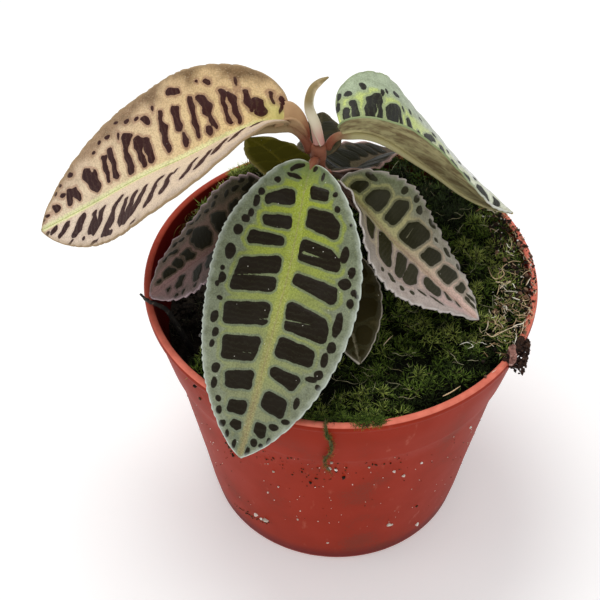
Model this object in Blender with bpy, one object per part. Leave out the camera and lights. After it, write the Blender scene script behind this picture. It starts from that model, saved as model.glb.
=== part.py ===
"""A potted labisia: a young plant with patterned leaves on one short stem, in a terracotta coloured nursery pot.

Metres, +Z up. The origin is the centre of the pot's underside. Sizes below are in millimetres and degrees.
"""

import math

import bmesh
import bpy
import numpy as np

MM = 0.001
GAP = 0.3
HOLE_GAP = 0.5

# Pot: outer radii and heights, the lip's width and the wall's thickness.
RIM_R = 52.5
RIM_Z = 82.0
LIP_W = 2.0
LIP_H = 2.6
COLLAR_H = 20.6
COLLAR_R = 48.0
WALL_R = 47.0
BASE_R = 37.0
WALL = 1.2
FLOOR = 1.6
POT_STEPS = 72
DRAIN_HOLES = 6
DRAIN_R = 4.0
DRAIN_RING_R = 24.0
DRAIN_SIDES = 12

# Soil and moss: heights of their tops, and the bare hollow at the left, a round patch that the moss leaves free.
SOIL_Z = 67.0
SOIL_DIP = 2.0
MOSS_Z = 79.3
MOSS_RIGHT_RISE = 3.0
MOSS_BACK_RISE = 1.6
MOSS_BUMP = 1.2
MOSS_SHOULDER = 2.4
BARE_X = -60.0
BARE_Y = -6.0
BARE_R = 33.0
GROUND_STEPS = 56

# Stem: a short upright rod that leans a little, from its foot in the soil to its top under the young leaf.
STEM_FOOT = (-5.5, 3.1, 59.0)
STEM_TOP = (-6.4, 4.0, 122.6)
STEM_FOOT_R = 2.2
STEM_TOP_R = 1.75
STEM_SIDES = 12
STEM_RINGS = 14
NODE_SWELL = 0.35

# The young leaf, still rolled: points along it from the stem's top, as offsets from there, and its radii.
NEW_LEAF = ((0.0, 0.0, 0.5), (-0.9, 0.1, 6.0), (-2.3, 0.3, 11.5), (-1.6, 1.0, 15.6), (0.2, 2.0, 17.4), (2.2, 3.0, 18.2))
NEW_LEAF_R = (1.75, 1.55, 1.1, 0.95, 0.75, 0.35)

# Leaves. height is where the stalk leaves the stem, stalk and blade are lengths along the midrib, left and
# right are the half widths. widest is where along the blade it is broadest, and fullness how blunt its ends
# are. pitch and yaw are the midrib's headings at the stalk's foot, the blade's foot, its middle and its tip;
# roll and fold turn and fold the blade at its foot, middle and tip; curl bends each half further outwards.
LEAVES = {
    "leaf_front": dict(
        height=119.0, heading=-104, stalk=4.0, blade=75.0, left=19.0, right=20.5, widest=0.46, fullness=1.47,
        pitch=(45, 10, -30.5, -56.5), yaw=(-103, -102.5, -104.5, -114), roll=(-11, 8.5, -5.5), fold=(28, 3, 8.5),
        curl=(-22, -13), teeth=25, spans=3, stalk_r=1.2),
    "leaf_left": dict(
        height=120.0, heading=170, stalk=9.5, blade=74.0, left=21.0, right=22.0, widest=0.38, fullness=1.25,
        pitch=(83, 23, -30.5, -33.5), yaw=(153, 182.5, 181.5, 180), roll=(8, -7, -27.5), fold=(48, 24.5, 14.5),
        curl=(-23, -7.5), teeth=25, spans=3, stalk_r=1.2),
    "leaf_right": dict(
        height=121.0, heading=15, stalk=5.5, blade=64.5, left=23.0, right=19.5, widest=0.26, fullness=1.2,
        pitch=(74, 23, -48, -27.5), yaw=(16, 10.5, 22, 18), roll=(-17, 2, -5), fold=(44.5, 30.5, 36),
        curl=(-37.5, -13), teeth=22, spans=3, stalk_r=1.2),
    "leaf_low_right": dict(
        height=108.0, heading=-35, stalk=4.0, blade=48.5, left=15.0, right=16.0, widest=0.43, fullness=1.18,
        pitch=(50, 11.5, -32, -26), yaw=(-19, -28.5, -28.5, -31), roll=(0.5, 0.5, -19), fold=(63.5, 6, 14),
        curl=(-13, 13), teeth=17, spans=2, stalk_r=1.0),
    "leaf_low_left": dict(
        height=98.0, heading=210, stalk=6.0, blade=42.5, left=14.0, right=19.0, widest=0.41, fullness=1.13,
        pitch=(32, 11.5, -29.5, -29.5), yaw=(215.5, 203, 198.5, 209), roll=(-8.5, 11.5, 2.5), fold=(39.5, 16.5, 2),
        curl=(-15.5, -20), teeth=16, spans=2, stalk_r=1.0),
    "leaf_low_front": dict(
        height=93.0, heading=-74, stalk=5.5, blade=32.5, left=10.0, right=8.0, widest=0.41, fullness=1.31,
        pitch=(15, -8, -16.5, -23), yaw=(-75, -68.5, -76, -71.5), roll=(0.5, 0.5, -4), fold=(20, 16.5, 13),
        curl=(-17.5, -15.5), teeth=13, spans=2, stalk_r=0.9),
    "leaf_back_right": dict(
        height=110.0, heading=55, stalk=2.5, blade=44.5, left=12.0, right=11.0, widest=0.48, fullness=1.19,
        pitch=(28.5, -6.5, -15, -34.5), yaw=(56.5, 63, 56.5, 56), roll=(10, -14.5, -7.5), fold=(21.5, 25.5, 18),
        curl=(-17.5, -10), teeth=15, spans=2, stalk_r=1.0),
    "leaf_back_left": dict(
        height=99.0, heading=128, stalk=5.5, blade=40.5, left=8.0, right=9.0, widest=0.44, fullness=1.23,
        pitch=(31, 3.5, -15.5, -17.5), yaw=(126, 115, 116.5, 128), roll=(0.5, 5, -2), fold=(20.5, 12, 9.5),
        curl=(-19.5, -22.5), teeth=14, spans=2, stalk_r=0.9),
    "leaf_back": dict(
        height=113.0, heading=88, stalk=3.0, blade=18.0, left=6.0, right=6.0, widest=0.38, fullness=1.05,
        pitch=(35, 13.5, 0, -3), yaw=(92.5, 92, 89, 90), roll=(5, -15, 0), fold=(24, 4, 1),
        curl=(-30, -26), teeth=9, spans=2, stalk_r=0.8),
}
BLADE_T = 0.7
RIB_T = 1.0
TOOTH = 0.75
TIP_W = 0.45
STALK_RINGS = 3
STALK_BLEND = 0.09

# Bark: a chip on the moss and lip at the right, and a splinter from the soil over the lip at the left.
CHIP_AT = (43.7, -27.4)
CHIP_TURN = -81.0
CHIP = (7.5, 2.6, 2.2)
CHIP_Z = RIM_Z + GAP
CHIP_RINGS = 6
SPLINTER = (
    (-38.0, -17.5, 66.1), (-41.8, -16.2, 74.5), (-45.0, -14.7, 80.6), (-47.7, -14.5, 82.75), (-49.8, -14.0, 83.35),
    (-52.0, -12.7, 84.6))
SPLINTER_R = (0.9, 0.8, 0.7, 0.6, 0.55, 0.35)

COLOURS = {
    "pot": ((0.36, 0.075, 0.045), 0.42),
    "soil": ((0.02, 0.015, 0.01), 0.95),
    "moss": ((0.07, 0.12, 0.02), 0.9),
    "stem": ((0.28, 0.075, 0.045), 0.5),
    "new_leaf": ((0.5, 0.42, 0.27), 0.5),
    "leaf_front": ((0.2, 0.27, 0.13), 0.45),
    "leaf_left": ((0.45, 0.34, 0.2), 0.5),
    "leaf_right": ((0.24, 0.3, 0.15), 0.45),
    "leaf_low_right": ((0.18, 0.18, 0.12), 0.45),
    "leaf_low_left": ((0.12, 0.1, 0.08), 0.45),
    "leaf_low_front": ((0.04, 0.035, 0.015), 0.45),
    "leaf_back_right": ((0.04, 0.045, 0.03), 0.5),
    "leaf_back_left": ((0.05, 0.06, 0.015), 0.5),
    "leaf_back": ((0.04, 0.045, 0.02), 0.5),
    "bark_right": ((0.16, 0.09, 0.06), 0.9),
    "bark_left": ((0.03, 0.02, 0.015), 0.9),
}


def clear_scene():
    for item in list(bpy.data.objects):
        bpy.data.objects.remove(item, do_unlink=True)


def finish(name, mesh_data):
    """Turns a bmesh in millimetres into a named object with its own material."""
    bmesh.ops.recalc_face_normals(mesh_data, faces=mesh_data.faces)
    bmesh.ops.scale(mesh_data, vec=(MM, MM, MM), verts=mesh_data.verts)
    mesh = bpy.data.meshes.new(name)
    mesh_data.to_mesh(mesh)
    mesh_data.free()
    mesh.shade_smooth()
    mesh.set_sharp_from_angle(angle=math.radians(35))
    colour, roughness = COLOURS[name]
    material = bpy.data.materials.new(name)
    material.use_nodes = True
    shader = material.node_tree.nodes["Principled BSDF"]
    shader.inputs["Base Color"].default_value = (*colour, 1.0)
    shader.inputs["Roughness"].default_value = roughness
    shader.inputs["Metallic"].default_value = 0.0
    material.diffuse_color = (*colour, 1.0)
    mesh.materials.append(material)
    item = bpy.data.objects.new(name, mesh)
    bpy.context.scene.collection.objects.link(item)
    return item


def loft(name, rings, closed=False, row=None):
    """Joins rings of points into one closed body.

    Its two ends are capped, or joined to each other if closed. row is the number of points in a ring's upper
    row where its lower row runs back under it: the two faces are then split along the same diagonals.
    """
    body = bmesh.new()
    rows = [[body.verts.new(point) for point in ring] for ring in rings]
    count = len(rows[0])
    pairs = list(zip(rows, rows[1:]))
    if closed:
        pairs.append((rows[-1], rows[0]))
    for near, far in pairs:
        for j in range(count):
            k = (j + 1) % count
            if row and j >= row:
                body.faces.new((near[j], near[k], far[j]))
                body.faces.new((near[k], far[k], far[j]))
            else:
                body.faces.new((near[j], near[k], far[k]))
                body.faces.new((near[j], far[k], far[j]))
    if not closed:
        for ring in (rows[0], rows[-1]):
            cap_end(body, ring, row)
    return finish(name, body)


def cap_end(body, ring, row):
    if not row:
        body.faces.new(ring)
        return
    for a in range(row - 1):
        low = len(ring) - 1 - a
        body.faces.new((ring[a], ring[a + 1], ring[low - 1], ring[low]))


def circle(radius, height, steps, centre=(0.0, 0.0)):
    angles = [2 * math.pi * i / steps for i in range(steps)]
    return [(centre[0] + radius * math.cos(a), centre[1] + radius * math.sin(a), height) for a in angles]


def through(stations, values, at):
    """A smooth curve through the values at the stations, read at the places in at."""
    stations = np.asarray(stations, float)
    values = np.asarray(values, float)
    slope = np.gradient(values, stations, axis=0)
    place = np.clip(np.searchsorted(stations, at) - 1, 0, len(stations) - 2)
    step = stations[place + 1] - stations[place]
    t = (at - stations[place]) / step
    if values.ndim > 1:
        step = step[:, None]
        t = t[:, None]
    start = (2 * t**3 - 3 * t**2 + 1) * values[place] + (t**3 - 2 * t**2 + t) * step * slope[place]
    end = (3 * t**2 - 2 * t**3) * values[place + 1] + (t**3 - t**2) * step * slope[place + 1]
    return start + end


def tube(name, points, radii, sides, rings):
    """A round rod along a smooth curve through the points."""
    stations = np.linspace(0, 1, len(points))
    at = np.linspace(0, 1, rings)
    middle = through(stations, points, at)
    radius = through(stations, radii, at)
    along = np.gradient(middle, axis=0)
    along /= np.linalg.norm(along, axis=1)[:, None]
    side = np.cross(along, (0.0, 1.0, 0.0))
    side /= np.linalg.norm(side, axis=1)[:, None]
    front = np.cross(side, along)
    turn = np.linspace(0, 2 * math.pi, sides, endpoint=False)
    loops = []
    for i in range(rings):
        loops.append([middle[i] + radius[i] * (math.cos(a) * side[i] + math.sin(a) * front[i]) for a in turn])
    return loft(name, loops)


# Pot

def inner_radius(height):
    """The radius of the pot's inside at a height."""
    step_z = RIM_Z - COLLAR_H
    if height >= step_z:
        return COLLAR_R - WALL + (RIM_R - LIP_W - COLLAR_R + WALL) * (height - step_z) / COLLAR_H
    return BASE_R - WALL + (WALL_R - BASE_R) * height / step_z


def make_pot():
    step_z = RIM_Z - COLLAR_H
    collar_slope = (RIM_R - COLLAR_R) / COLLAR_H
    under_lip_r = RIM_R - 0.7 - collar_slope * LIP_H
    outside = [
        (RIM_R - LIP_W / 2, RIM_Z), (RIM_R - 0.35, RIM_Z - 0.3), (RIM_R, RIM_Z - 1.0), (RIM_R - 0.3, RIM_Z - LIP_H),
        (under_lip_r, RIM_Z - LIP_H - 0.4), (COLLAR_R, step_z + 0.5), (WALL_R, step_z), (BASE_R + 0.6, 2.0),
        (BASE_R - 0.6, 0.0),
    ]
    inside = [
        (inner_radius(FLOOR), FLOOR), (inner_radius(step_z - 1.5), step_z - 1.5), (inner_radius(step_z), step_z),
        (inner_radius(RIM_Z - 2.0), RIM_Z - 2.0), (RIM_R - LIP_W, RIM_Z - 0.5),
    ]
    # The profile runs from the underside's middle over the lip to the floor's middle.
    rings = [circle(r, z, POT_STEPS) for r, z in [(8.0, 0.0)] + outside[::-1] + inside[::-1] + [(8.0, FLOOR)]]
    pot = loft("pot", rings)
    holes = bmesh.new()
    for i in range(DRAIN_HOLES):
        angle = 2 * math.pi * i / DRAIN_HOLES
        made = bmesh.ops.create_cone(
            holes, cap_ends=True, segments=DRAIN_SIDES, radius1=DRAIN_R, radius2=DRAIN_R, depth=4 * FLOOR)
        shift = (DRAIN_RING_R * math.cos(angle), DRAIN_RING_R * math.sin(angle), FLOOR / 2)
        bmesh.ops.translate(holes, vec=shift, verts=made["verts"])
    bmesh.ops.scale(holes, vec=(MM, MM, MM), verts=holes.verts)
    mesh = bpy.data.meshes.new("drain_cutter")
    holes.to_mesh(mesh)
    holes.free()
    cutter = bpy.data.objects.new("drain_cutter", mesh)
    bpy.context.scene.collection.objects.link(cutter)
    cutter.hide_render = True
    cutter.display_type = "WIRE"
    cut = pot.modifiers.new("drain holes", "BOOLEAN")
    cut.operation = "DIFFERENCE"
    cut.solver = "EXACT"
    cut.object = cutter


# Soil and moss

def stem_axis(height):
    """The stem's middle at a height, and its radius there."""
    part = (height - STEM_FOOT[2]) / (STEM_TOP[2] - STEM_FOOT[2])
    x = STEM_FOOT[0] + (STEM_TOP[0] - STEM_FOOT[0]) * part
    y = STEM_FOOT[1] + (STEM_TOP[1] - STEM_FOOT[1]) * part
    return x, y, STEM_FOOT_R + (STEM_TOP_R - STEM_FOOT_R) * part


def wall_distance(x, y, angle, radius):
    """How far a ray from a point inside a circle round the origin runs before it meets the circle."""
    along = x * math.cos(angle) + y * math.sin(angle)
    return -along + math.sqrt(along**2 - (x * x + y * y) + radius**2)


def bare_distance(x, y, angle):
    """How far a ray runs before it meets the bare hollow, or None where it passes by."""
    ahead = (BARE_X - x) * math.cos(angle) + (BARE_Y - y) * math.sin(angle)
    aside = (BARE_X - x) * math.sin(angle) - (BARE_Y - y) * math.cos(angle)
    if ahead < 0 or abs(aside) > BARE_R:
        return None
    return ahead - math.sqrt(BARE_R**2 - aside**2)


def ramp(value, low, high):
    part = min(max((value - low) / (high - low), 0.0), 1.0)
    return part * part * (3 - 2 * part)


def waves(x, y):
    """Soft bumps between about -1 and 1, from a few crossing waves."""
    return (math.sin(0.42 * x + 0.9) * math.sin(0.37 * y - 0.4) + 0.6 * math.sin(0.23 * x - 0.55 * y + 2.0)
            + 0.5 * math.sin(0.71 * x + 0.33 * y)) / 1.9


def soil_height(x, y):
    depth = ramp(BARE_R - math.hypot(x - BARE_X, y - BARE_Y), 0.0, 8.0)
    return SOIL_Z - depth * (SOIL_DIP + 0.8 * waves(x * 1.7, y * 1.7))


def moss_height(x, y):
    right = ramp(x, -5.0, 48.0)
    back = ramp(-x, 5.0, 30.0) * ramp(y, 15.0, 42.0)
    return MOSS_Z + MOSS_RIGHT_RISE * right + MOSS_BACK_RISE * back + MOSS_BUMP * waves(x, y)


def make_soil():
    x, y, radius = stem_axis(SOIL_Z)
    hole = radius + HOLE_GAP
    foot = STEM_FOOT[2] - GAP
    rings = [circle(hole, foot, GROUND_STEPS, (x, y)), circle(hole, SOIL_Z, GROUND_STEPS, (x, y))]
    wall = inner_radius(SOIL_Z - SOIL_DIP - 1.0) - GAP
    for part in (0.2, 0.36, 0.5, 0.62, 0.73, 0.83, 0.92, 1.0):
        ring = []
        for i in range(GROUND_STEPS):
            angle = 2 * math.pi * i / GROUND_STEPS
            reach = hole + (wall_distance(x, y, angle, wall) - hole) * part
            px, py = x + reach * math.cos(angle), y + reach * math.sin(angle)
            ring.append((px, py, soil_height(px, py)))
        rings.append(ring)
    outline = [math.atan2(point[1], point[0]) for point in rings[-1]]
    for height in (RIM_Z - COLLAR_H - 1.5, FLOOR + GAP):
        reach = inner_radius(height) - GAP
        rings.append([(reach * math.cos(a), reach * math.sin(a), height) for a in outline])
    loft("soil", rings)


def make_moss():
    x, y, radius = stem_axis(MOSS_Z)
    hole = radius + HOLE_GAP
    floor = SOIL_Z + GAP
    wall = inner_radius(SOIL_Z) - GAP

    def ring(part, top):
        points = []
        for i in range(GROUND_STEPS):
            angle = 2 * math.pi * i / GROUND_STEPS
            reach = wall_distance(x, y, angle, wall)
            bare = bare_distance(x, y, angle)
            if bare is not None:
                reach = min(reach, bare)
            reach = hole + (reach - hole) * part
            px, py = x + reach * math.cos(angle), y + reach * math.sin(angle)
            height = floor
            if top:
                height = moss_height(px, py) - MOSS_SHOULDER * ramp(part, 0.9, 1.0)
                # The inside widens upwards, so the cushion's top spreads with it.
                spread = 1 + (inner_radius(height) - inner_radius(SOIL_Z)) / wall * ramp(part, 0.5, 1.0)
                px, py = px * spread, py * spread
            points.append((px, py, height))
        return points

    parts = (0.0, 0.1, 0.2, 0.31, 0.42, 0.53, 0.64, 0.75, 0.85, 0.93, 1.0)
    rings = [ring(part, True) for part in parts] + [ring(part, False) for part in (1.0, 0.5, 0.0)]
    loft("moss", rings, closed=True)


# Stem and young leaf

def make_stem():
    heights = np.linspace(STEM_FOOT[2], STEM_TOP[2], STEM_RINGS)
    leaving = [leaf["height"] for leaf in LEAVES.values()]
    rings = []
    for height in heights:
        x, y, radius = stem_axis(height)
        if min(abs(height - h) for h in leaving) < 2.5:
            radius += NODE_SWELL / 2
        rings.append(circle(radius, height, STEM_SIDES, (x, y)))
    x, y, radius = stem_axis(STEM_TOP[2])
    rings[-1] = circle(radius * 0.8, STEM_TOP[2], STEM_SIDES, (x, y))
    loft("stem", rings)


def make_new_leaf():
    start = np.array(STEM_TOP)
    points = [start + np.array(offset) for offset in NEW_LEAF]
    tube("new_leaf", points, NEW_LEAF_R, 10, 15)


# Leaves

def midrib(leaf, places):
    """The midrib's points and its three directions (along, across, up) at the places along it."""
    stalk, blade = leaf["stalk"], leaf["blade"]
    fine = np.linspace(0, stalk + blade, 241)
    bends = (0, stalk, stalk + blade / 2, stalk + blade)
    pitch = np.radians(through(bends, leaf["pitch"], fine))
    yaw = np.radians(through(bends, leaf["yaw"], fine))
    along = np.stack([np.cos(pitch) * np.cos(yaw), np.cos(pitch) * np.sin(yaw), np.sin(pitch)], -1)
    walked = np.zeros_like(along)
    walked[1:] = np.cumsum((along[1:] + along[:-1]) / 2 * (fine[1] - fine[0]), axis=0)
    x, y, _ = stem_axis(leaf["height"])
    heading = math.radians(leaf["heading"])
    foot = np.array([x + 2.3 * math.cos(heading), y + 2.3 * math.sin(heading), leaf["height"]])
    points = foot + np.stack([np.interp(places, fine, walked[:, k]) for k in range(3)], -1)
    along = np.stack([np.interp(places, fine, along[:, k]) for k in range(3)], -1)
    across = np.stack([-np.sin(np.interp(places, fine, yaw)), np.cos(np.interp(places, fine, yaw))], -1)
    across = np.concatenate([across, np.zeros((len(places), 1))], 1)
    return points, along, across, np.cross(along, across)


def blade_width(part, widest, fullness):
    """The blade's half width as a share of its greatest, at a share of the way from foot to tip."""
    part = np.clip(part, 1e-6, 1 - 1e-6)
    return (part / widest) ** (fullness * widest) * ((1 - part) / (1 - widest)) ** (fullness * (1 - widest))


def make_leaf(name, leaf):
    stalk, blade, spans = leaf["stalk"], leaf["blade"], leaf["spans"]
    steps = 2 * leaf["teeth"]
    parts = np.concatenate([np.full(STALK_RINGS, 0.0), np.linspace(0.012, 1.0, steps + 1)])
    places = stalk + parts * blade
    places[:STALK_RINGS] = np.linspace(0, stalk * 0.8, STALK_RINGS)
    points, _, across, up = midrib(leaf, places)
    bends = (stalk, stalk + blade / 2, stalk + blade)
    inside = np.clip(places, stalk, stalk + blade)
    roll = np.radians(through(bends, leaf["roll"], inside))[:, None]
    fold = np.radians(through(bends, leaf["fold"], inside))
    across, up = across * np.cos(roll) + up * np.sin(roll), up * np.cos(roll) - across * np.sin(roll)
    share = blade_width(parts, leaf["widest"], leaf["fullness"])
    share[:STALK_RINGS] = 0
    rings = []
    for i, part in enumerate(parts):
        blend = ramp(part, 0.0, STALK_BLEND) if i >= STALK_RINGS else 0.0
        notch = TOOTH * (i % 2) * min(1.0, 4 * share[i] ** 2)
        upper, lower = [], []
        for a in range(-spans, spans + 1):
            v = abs(a) / spans
            side = 1 if a < 0 else -1
            half = (leaf["left"] if a < 0 else leaf["right"]) * share[i]
            half = max(half - notch, TIP_W)
            curl = math.radians(leaf["curl"][0 if a < 0 else 1])
            out = (math.sin(fold[i] + curl * v) - math.sin(fold[i])) / curl
            rise = (math.cos(fold[i]) - math.cos(fold[i] + curl * v)) / curl
            flat = points[i] + (side * out * across[i] + rise * up[i]) * half
            rib = RIB_T * (1 - part) * (1 if a == 0 else 0)
            angle = math.pi * (a + spans) / (2 * spans)
            around = (math.cos(angle) * across[i] * 1.15, (math.sin(angle) * 0.9 + 0.1) * up[i])
            round_upper = points[i] + leaf["stalk_r"] * (around[0] + around[1])
            round_lower = points[i] + leaf["stalk_r"] * (around[0] - around[1])
            upper.append(round_upper * (1 - blend) + (flat + up[i] * BLADE_T / 2) * blend)
            lower.append(round_lower * (1 - blend) + (flat - up[i] * (BLADE_T / 2 + rib)) * blend)
        rings.append(upper + lower[::-1])
    rings = [clear_of_stem(ring) for ring in rings[:STALK_RINGS]] + rings[STALK_RINGS:]
    loft(name, rings, row=2 * spans + 1)


def clear_of_stem(ring):
    """Pushes the points of a stalk's foot out to the stem's skin, so that it sits against it like a saddle."""
    moved = []
    for point in ring:
        x, y, radius = stem_axis(point[2])
        reach = radius + NODE_SWELL / 2 + GAP
        dx, dy = point[0] - x, point[1] - y
        distance = math.hypot(dx, dy)
        if distance < reach:
            point = np.array([x + dx / distance * reach, y + dy / distance * reach, point[2]])
        moved.append(point)
    return moved


# Bark

def make_chip():
    length, width, height = CHIP
    turn = math.radians(CHIP_TURN)
    rings = []
    for i in range(CHIP_RINGS):
        part = i / (CHIP_RINGS - 1)
        grow = 0.55 + 0.45 * math.sin(math.pi * (0.15 + 0.7 * part)) + 0.08 * math.sin(9 * part)
        ring = []
        for dx, dz in ((-0.5, 0.0), (0.5, 0.0), (0.62, 0.45), (0.25, 1.0), (-0.3, 0.9), (-0.55, 0.5)):
            along, beside = length * (part - 0.5), width * dx * grow
            x = CHIP_AT[0] + along * math.cos(turn) - beside * math.sin(turn)
            y = CHIP_AT[1] + along * math.sin(turn) + beside * math.cos(turn)
            ring.append((x, y, CHIP_Z + height * dz * grow))
        rings.append(ring)
    loft("bark_right", rings)


def main():
    clear_scene()
    make_pot()
    make_soil()
    make_moss()
    make_stem()
    make_new_leaf()
    for name, leaf in LEAVES.items():
        make_leaf(name, leaf)
    make_chip()
    tube("bark_left", SPLINTER, SPLINTER_R, 6, 14)


main()
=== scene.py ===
import math
import random

import bpy
import numpy as np
from mathutils import Matrix, Vector


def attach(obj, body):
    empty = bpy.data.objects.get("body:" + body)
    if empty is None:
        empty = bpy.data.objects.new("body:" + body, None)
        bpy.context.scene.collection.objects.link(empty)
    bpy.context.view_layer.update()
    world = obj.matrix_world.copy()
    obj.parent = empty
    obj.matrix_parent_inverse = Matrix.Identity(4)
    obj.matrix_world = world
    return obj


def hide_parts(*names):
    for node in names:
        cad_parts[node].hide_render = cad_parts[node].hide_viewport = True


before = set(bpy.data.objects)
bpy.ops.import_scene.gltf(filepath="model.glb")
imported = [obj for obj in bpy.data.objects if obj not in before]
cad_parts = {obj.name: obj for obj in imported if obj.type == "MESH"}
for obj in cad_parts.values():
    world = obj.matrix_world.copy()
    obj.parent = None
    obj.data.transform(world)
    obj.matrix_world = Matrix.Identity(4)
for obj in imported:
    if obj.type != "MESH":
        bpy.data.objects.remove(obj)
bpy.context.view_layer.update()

# Lengths below are in millimetres and angles in degrees. x runs to the right, y away from the viewer, z up.
mm = 0.001


# Helpers for shapes

def clearSelection():
    bpy.ops.object.select_all(action="DESELECT")


def addSheet(name, columns, rows):
    # A flat grid to be shaped; returns it with each point's share along (0 to 1) and across (-1 to 1).
    clearSelection()
    bpy.ops.mesh.primitive_grid_add(x_subdivisions=columns, y_subdivisions=rows, size=2)
    piece = bpy.context.object
    piece.name = name
    piece.data.name = name
    spots = readPoints(piece)
    return piece, (spots[:, 0] + 1) / 2, spots[:, 1]


def readPoints(piece):
    spots = np.empty(len(piece.data.vertices) * 3)
    piece.data.vertices.foreach_get("co", spots)
    return spots.reshape(-1, 3)


def placePoints(piece, points):
    piece.data.vertices.foreach_set("co", (np.asarray(points) * mm).ravel())
    piece.data.update()


def writeNumbers(piece, name, values):
    layer = piece.data.attributes.new(name, "FLOAT", "POINT")
    layer.data.foreach_set("value", np.asarray(values, np.float32))


def choose(piece):
    clearSelection()
    piece.select_set(True)
    bpy.context.view_layer.objects.active = piece


def inEditMode(piece, *steps):
    choose(piece)
    bpy.ops.object.mode_set(mode="EDIT")
    bpy.ops.mesh.select_all(action="SELECT")
    for step in steps:
        step()
    bpy.ops.object.mode_set(mode="OBJECT")


def mergeDoubles():
    bpy.ops.mesh.remove_doubles(threshold=0.002 * mm)


def closeEnds():
    bpy.ops.mesh.fill_holes(sides=0)


def faceOutwards():
    bpy.ops.mesh.select_all(action="SELECT")
    bpy.ops.mesh.normals_make_consistent(inside=False)


def applyModifier(piece, kind, **settings):
    choose(piece)
    step = piece.modifiers.new(kind.lower(), kind)
    for key, value in settings.items():
        setattr(step, key, value)
    bpy.ops.object.modifier_apply(modifier=step.name)


def joinPieces(pieces):
    clearSelection()
    for piece in pieces:
        piece.select_set(True)
    bpy.context.view_layer.objects.active = pieces[0]
    bpy.ops.object.join()
    return pieces[0]


def removePiece(piece):
    bpy.data.objects.remove(piece, do_unlink=True)


def finishPiece(piece, slot, *nodes, finish=None, crease=None):
    if finish:
        piece.data.materials.clear()
        piece.data.materials.append(finish)
    choose(piece)
    if crease:
        bpy.ops.object.shade_smooth_by_angle(angle=math.radians(crease))
    else:
        bpy.ops.object.shade_smooth()
    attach(piece, "root")
    if nodes:
        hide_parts(*nodes)


def through(stations, values, at):
    # A smooth curve through the values at the stations, read at the places in at.
    stations = np.asarray(stations, float)
    values = np.asarray(values, float)
    slope = np.gradient(values, stations, axis=0)
    place = np.clip(np.searchsorted(stations, at) - 1, 0, len(stations) - 2)
    step = stations[place + 1] - stations[place]
    t = (at - stations[place]) / step
    if values.ndim > 1:
        step = step[:, None]
        t = t[:, None]
    start = (2 * t**3 - 3 * t**2 + 1) * values[place] + (t**3 - 2 * t**2 + t) * step * slope[place]
    end = (3 * t**2 - 2 * t**3) * values[place + 1] + (t**3 - t**2) * step * slope[place + 1]
    return start + end


def ramp(value, low, high):
    part = np.clip((np.asarray(value, float) - low) / (high - low), 0.0, 1.0)
    return part * part * (3 - 2 * part)


def carryAxes(path):
    # Directions along a path, and two across it that don't twist.
    along = np.gradient(path, axis=0)
    along /= np.linalg.norm(along, axis=1)[:, None]
    helper = (0.0, 0.0, 1.0) if abs(along[0][2]) < 0.8 else (0.0, 1.0, 0.0)
    side = np.cross(along[0], helper)
    sides = []
    for way in along:
        side = side - way * np.dot(side, way)
        side = side / np.linalg.norm(side)
        sides.append(side)
    sides = np.array(sides)
    return along, sides, np.cross(sides, along)


def addTube(name, points, radii, sides, rings, flat=1.0):
    # A round rod along a smooth curve through the points; flat is its second width as a share of the first.
    piece, along, around = addSheet(name, rings, sides)
    ring = np.rint(along * rings).astype(int)
    at = np.linspace(0, 1, rings + 1)
    path = through(np.linspace(0, 1, len(points)), points, at)
    radius = through(np.linspace(0, 1, len(radii)), radii, at)
    _, side, front = carryAxes(path)
    angle = math.pi * (around + 1)
    spots = path[ring] + radius[ring, None] * (
        np.cos(angle)[:, None] * side[ring] + flat * np.sin(angle)[:, None] * front[ring])
    placePoints(piece, spots)
    writeNumbers(piece, "along", along)
    inEditMode(piece, mergeDoubles, closeEnds, faceOutwards)
    return piece


def layCopies(name, model, places, turns, sizes, tones):
    # Copies one model to many places as one mesh, with a tone for each copy.
    source = model.data
    source.calc_loop_triangles()
    corners = np.empty(len(source.loop_triangles) * 3, np.int64)
    source.loop_triangles.foreach_get("vertices", corners)
    shape = readPoints(model) / mm
    count, size = len(places), len(shape)
    points = np.einsum("mij,nj->mni", turns, shape) * np.asarray(sizes)[:, None, None]
    points = (points + np.asarray(places)[:, None, :]).reshape(-1, 3)
    faces = (corners[None, :] + size * np.arange(count)[:, None]).reshape(-1, 3)
    mesh = bpy.data.meshes.new(name)
    mesh.from_pydata((points * mm).tolist(), [], faces.tolist())
    piece = bpy.data.objects.new(name, mesh)
    bpy.context.scene.collection.objects.link(piece)
    writeNumbers(piece, "tone", np.repeat(tones, size))
    if "along" in source.attributes:
        shares = np.empty(size, np.float32)
        source.attributes["along"].data.foreach_get("value", shares)
        writeNumbers(piece, "along", np.tile(shares, count))
    return piece


def turnsFor(heading, tilt, spin):
    # Turns that spin a copy about its own axis, tip it from upright and then head it to a side; in radians.
    heading, tilt, spin = (np.asarray(angle, float) for angle in (heading, tilt, spin))
    ch, sh, ct, st, cs, ss = (
        np.cos(heading), np.sin(heading), np.cos(tilt), np.sin(tilt), np.cos(spin), np.sin(spin))
    rows = [[ch * ct * cs - sh * ss, -ch * ct * ss - sh * cs, ch * st],
            [sh * ct * cs + ch * ss, -sh * ct * ss + ch * cs, sh * st],
            [-st * cs, st * ss, ct]]
    return np.moveaxis(np.array(rows), 2, 0)


def around(reach, angle, height):
    # Places at a reach and an angle, in radians, round the pot's axis.
    return np.stack([reach * np.cos(angle), reach * np.sin(angle), height], -1)


def anyAngle(draw, count):
    return draw.uniform(0, 6.28, count)


grainCrease = 50


def strew(name, model, places, turns, sizes, tones, slot, finish, crease=None):
    finishPiece(layCopies(name, model, places, turns, sizes, tones), slot, finish=finish, crease=crease)


# Helpers for materials

def paint(red, green, blue):
    # A colour given as 0 to 255 on a screen, as light.
    parts = [channel / 255 for channel in (red, green, blue)]
    return (*[part / 12.92 if part <= 0.04045 else ((part + 0.055) / 1.055) ** 2.4 for part in parts], 1.0)


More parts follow.
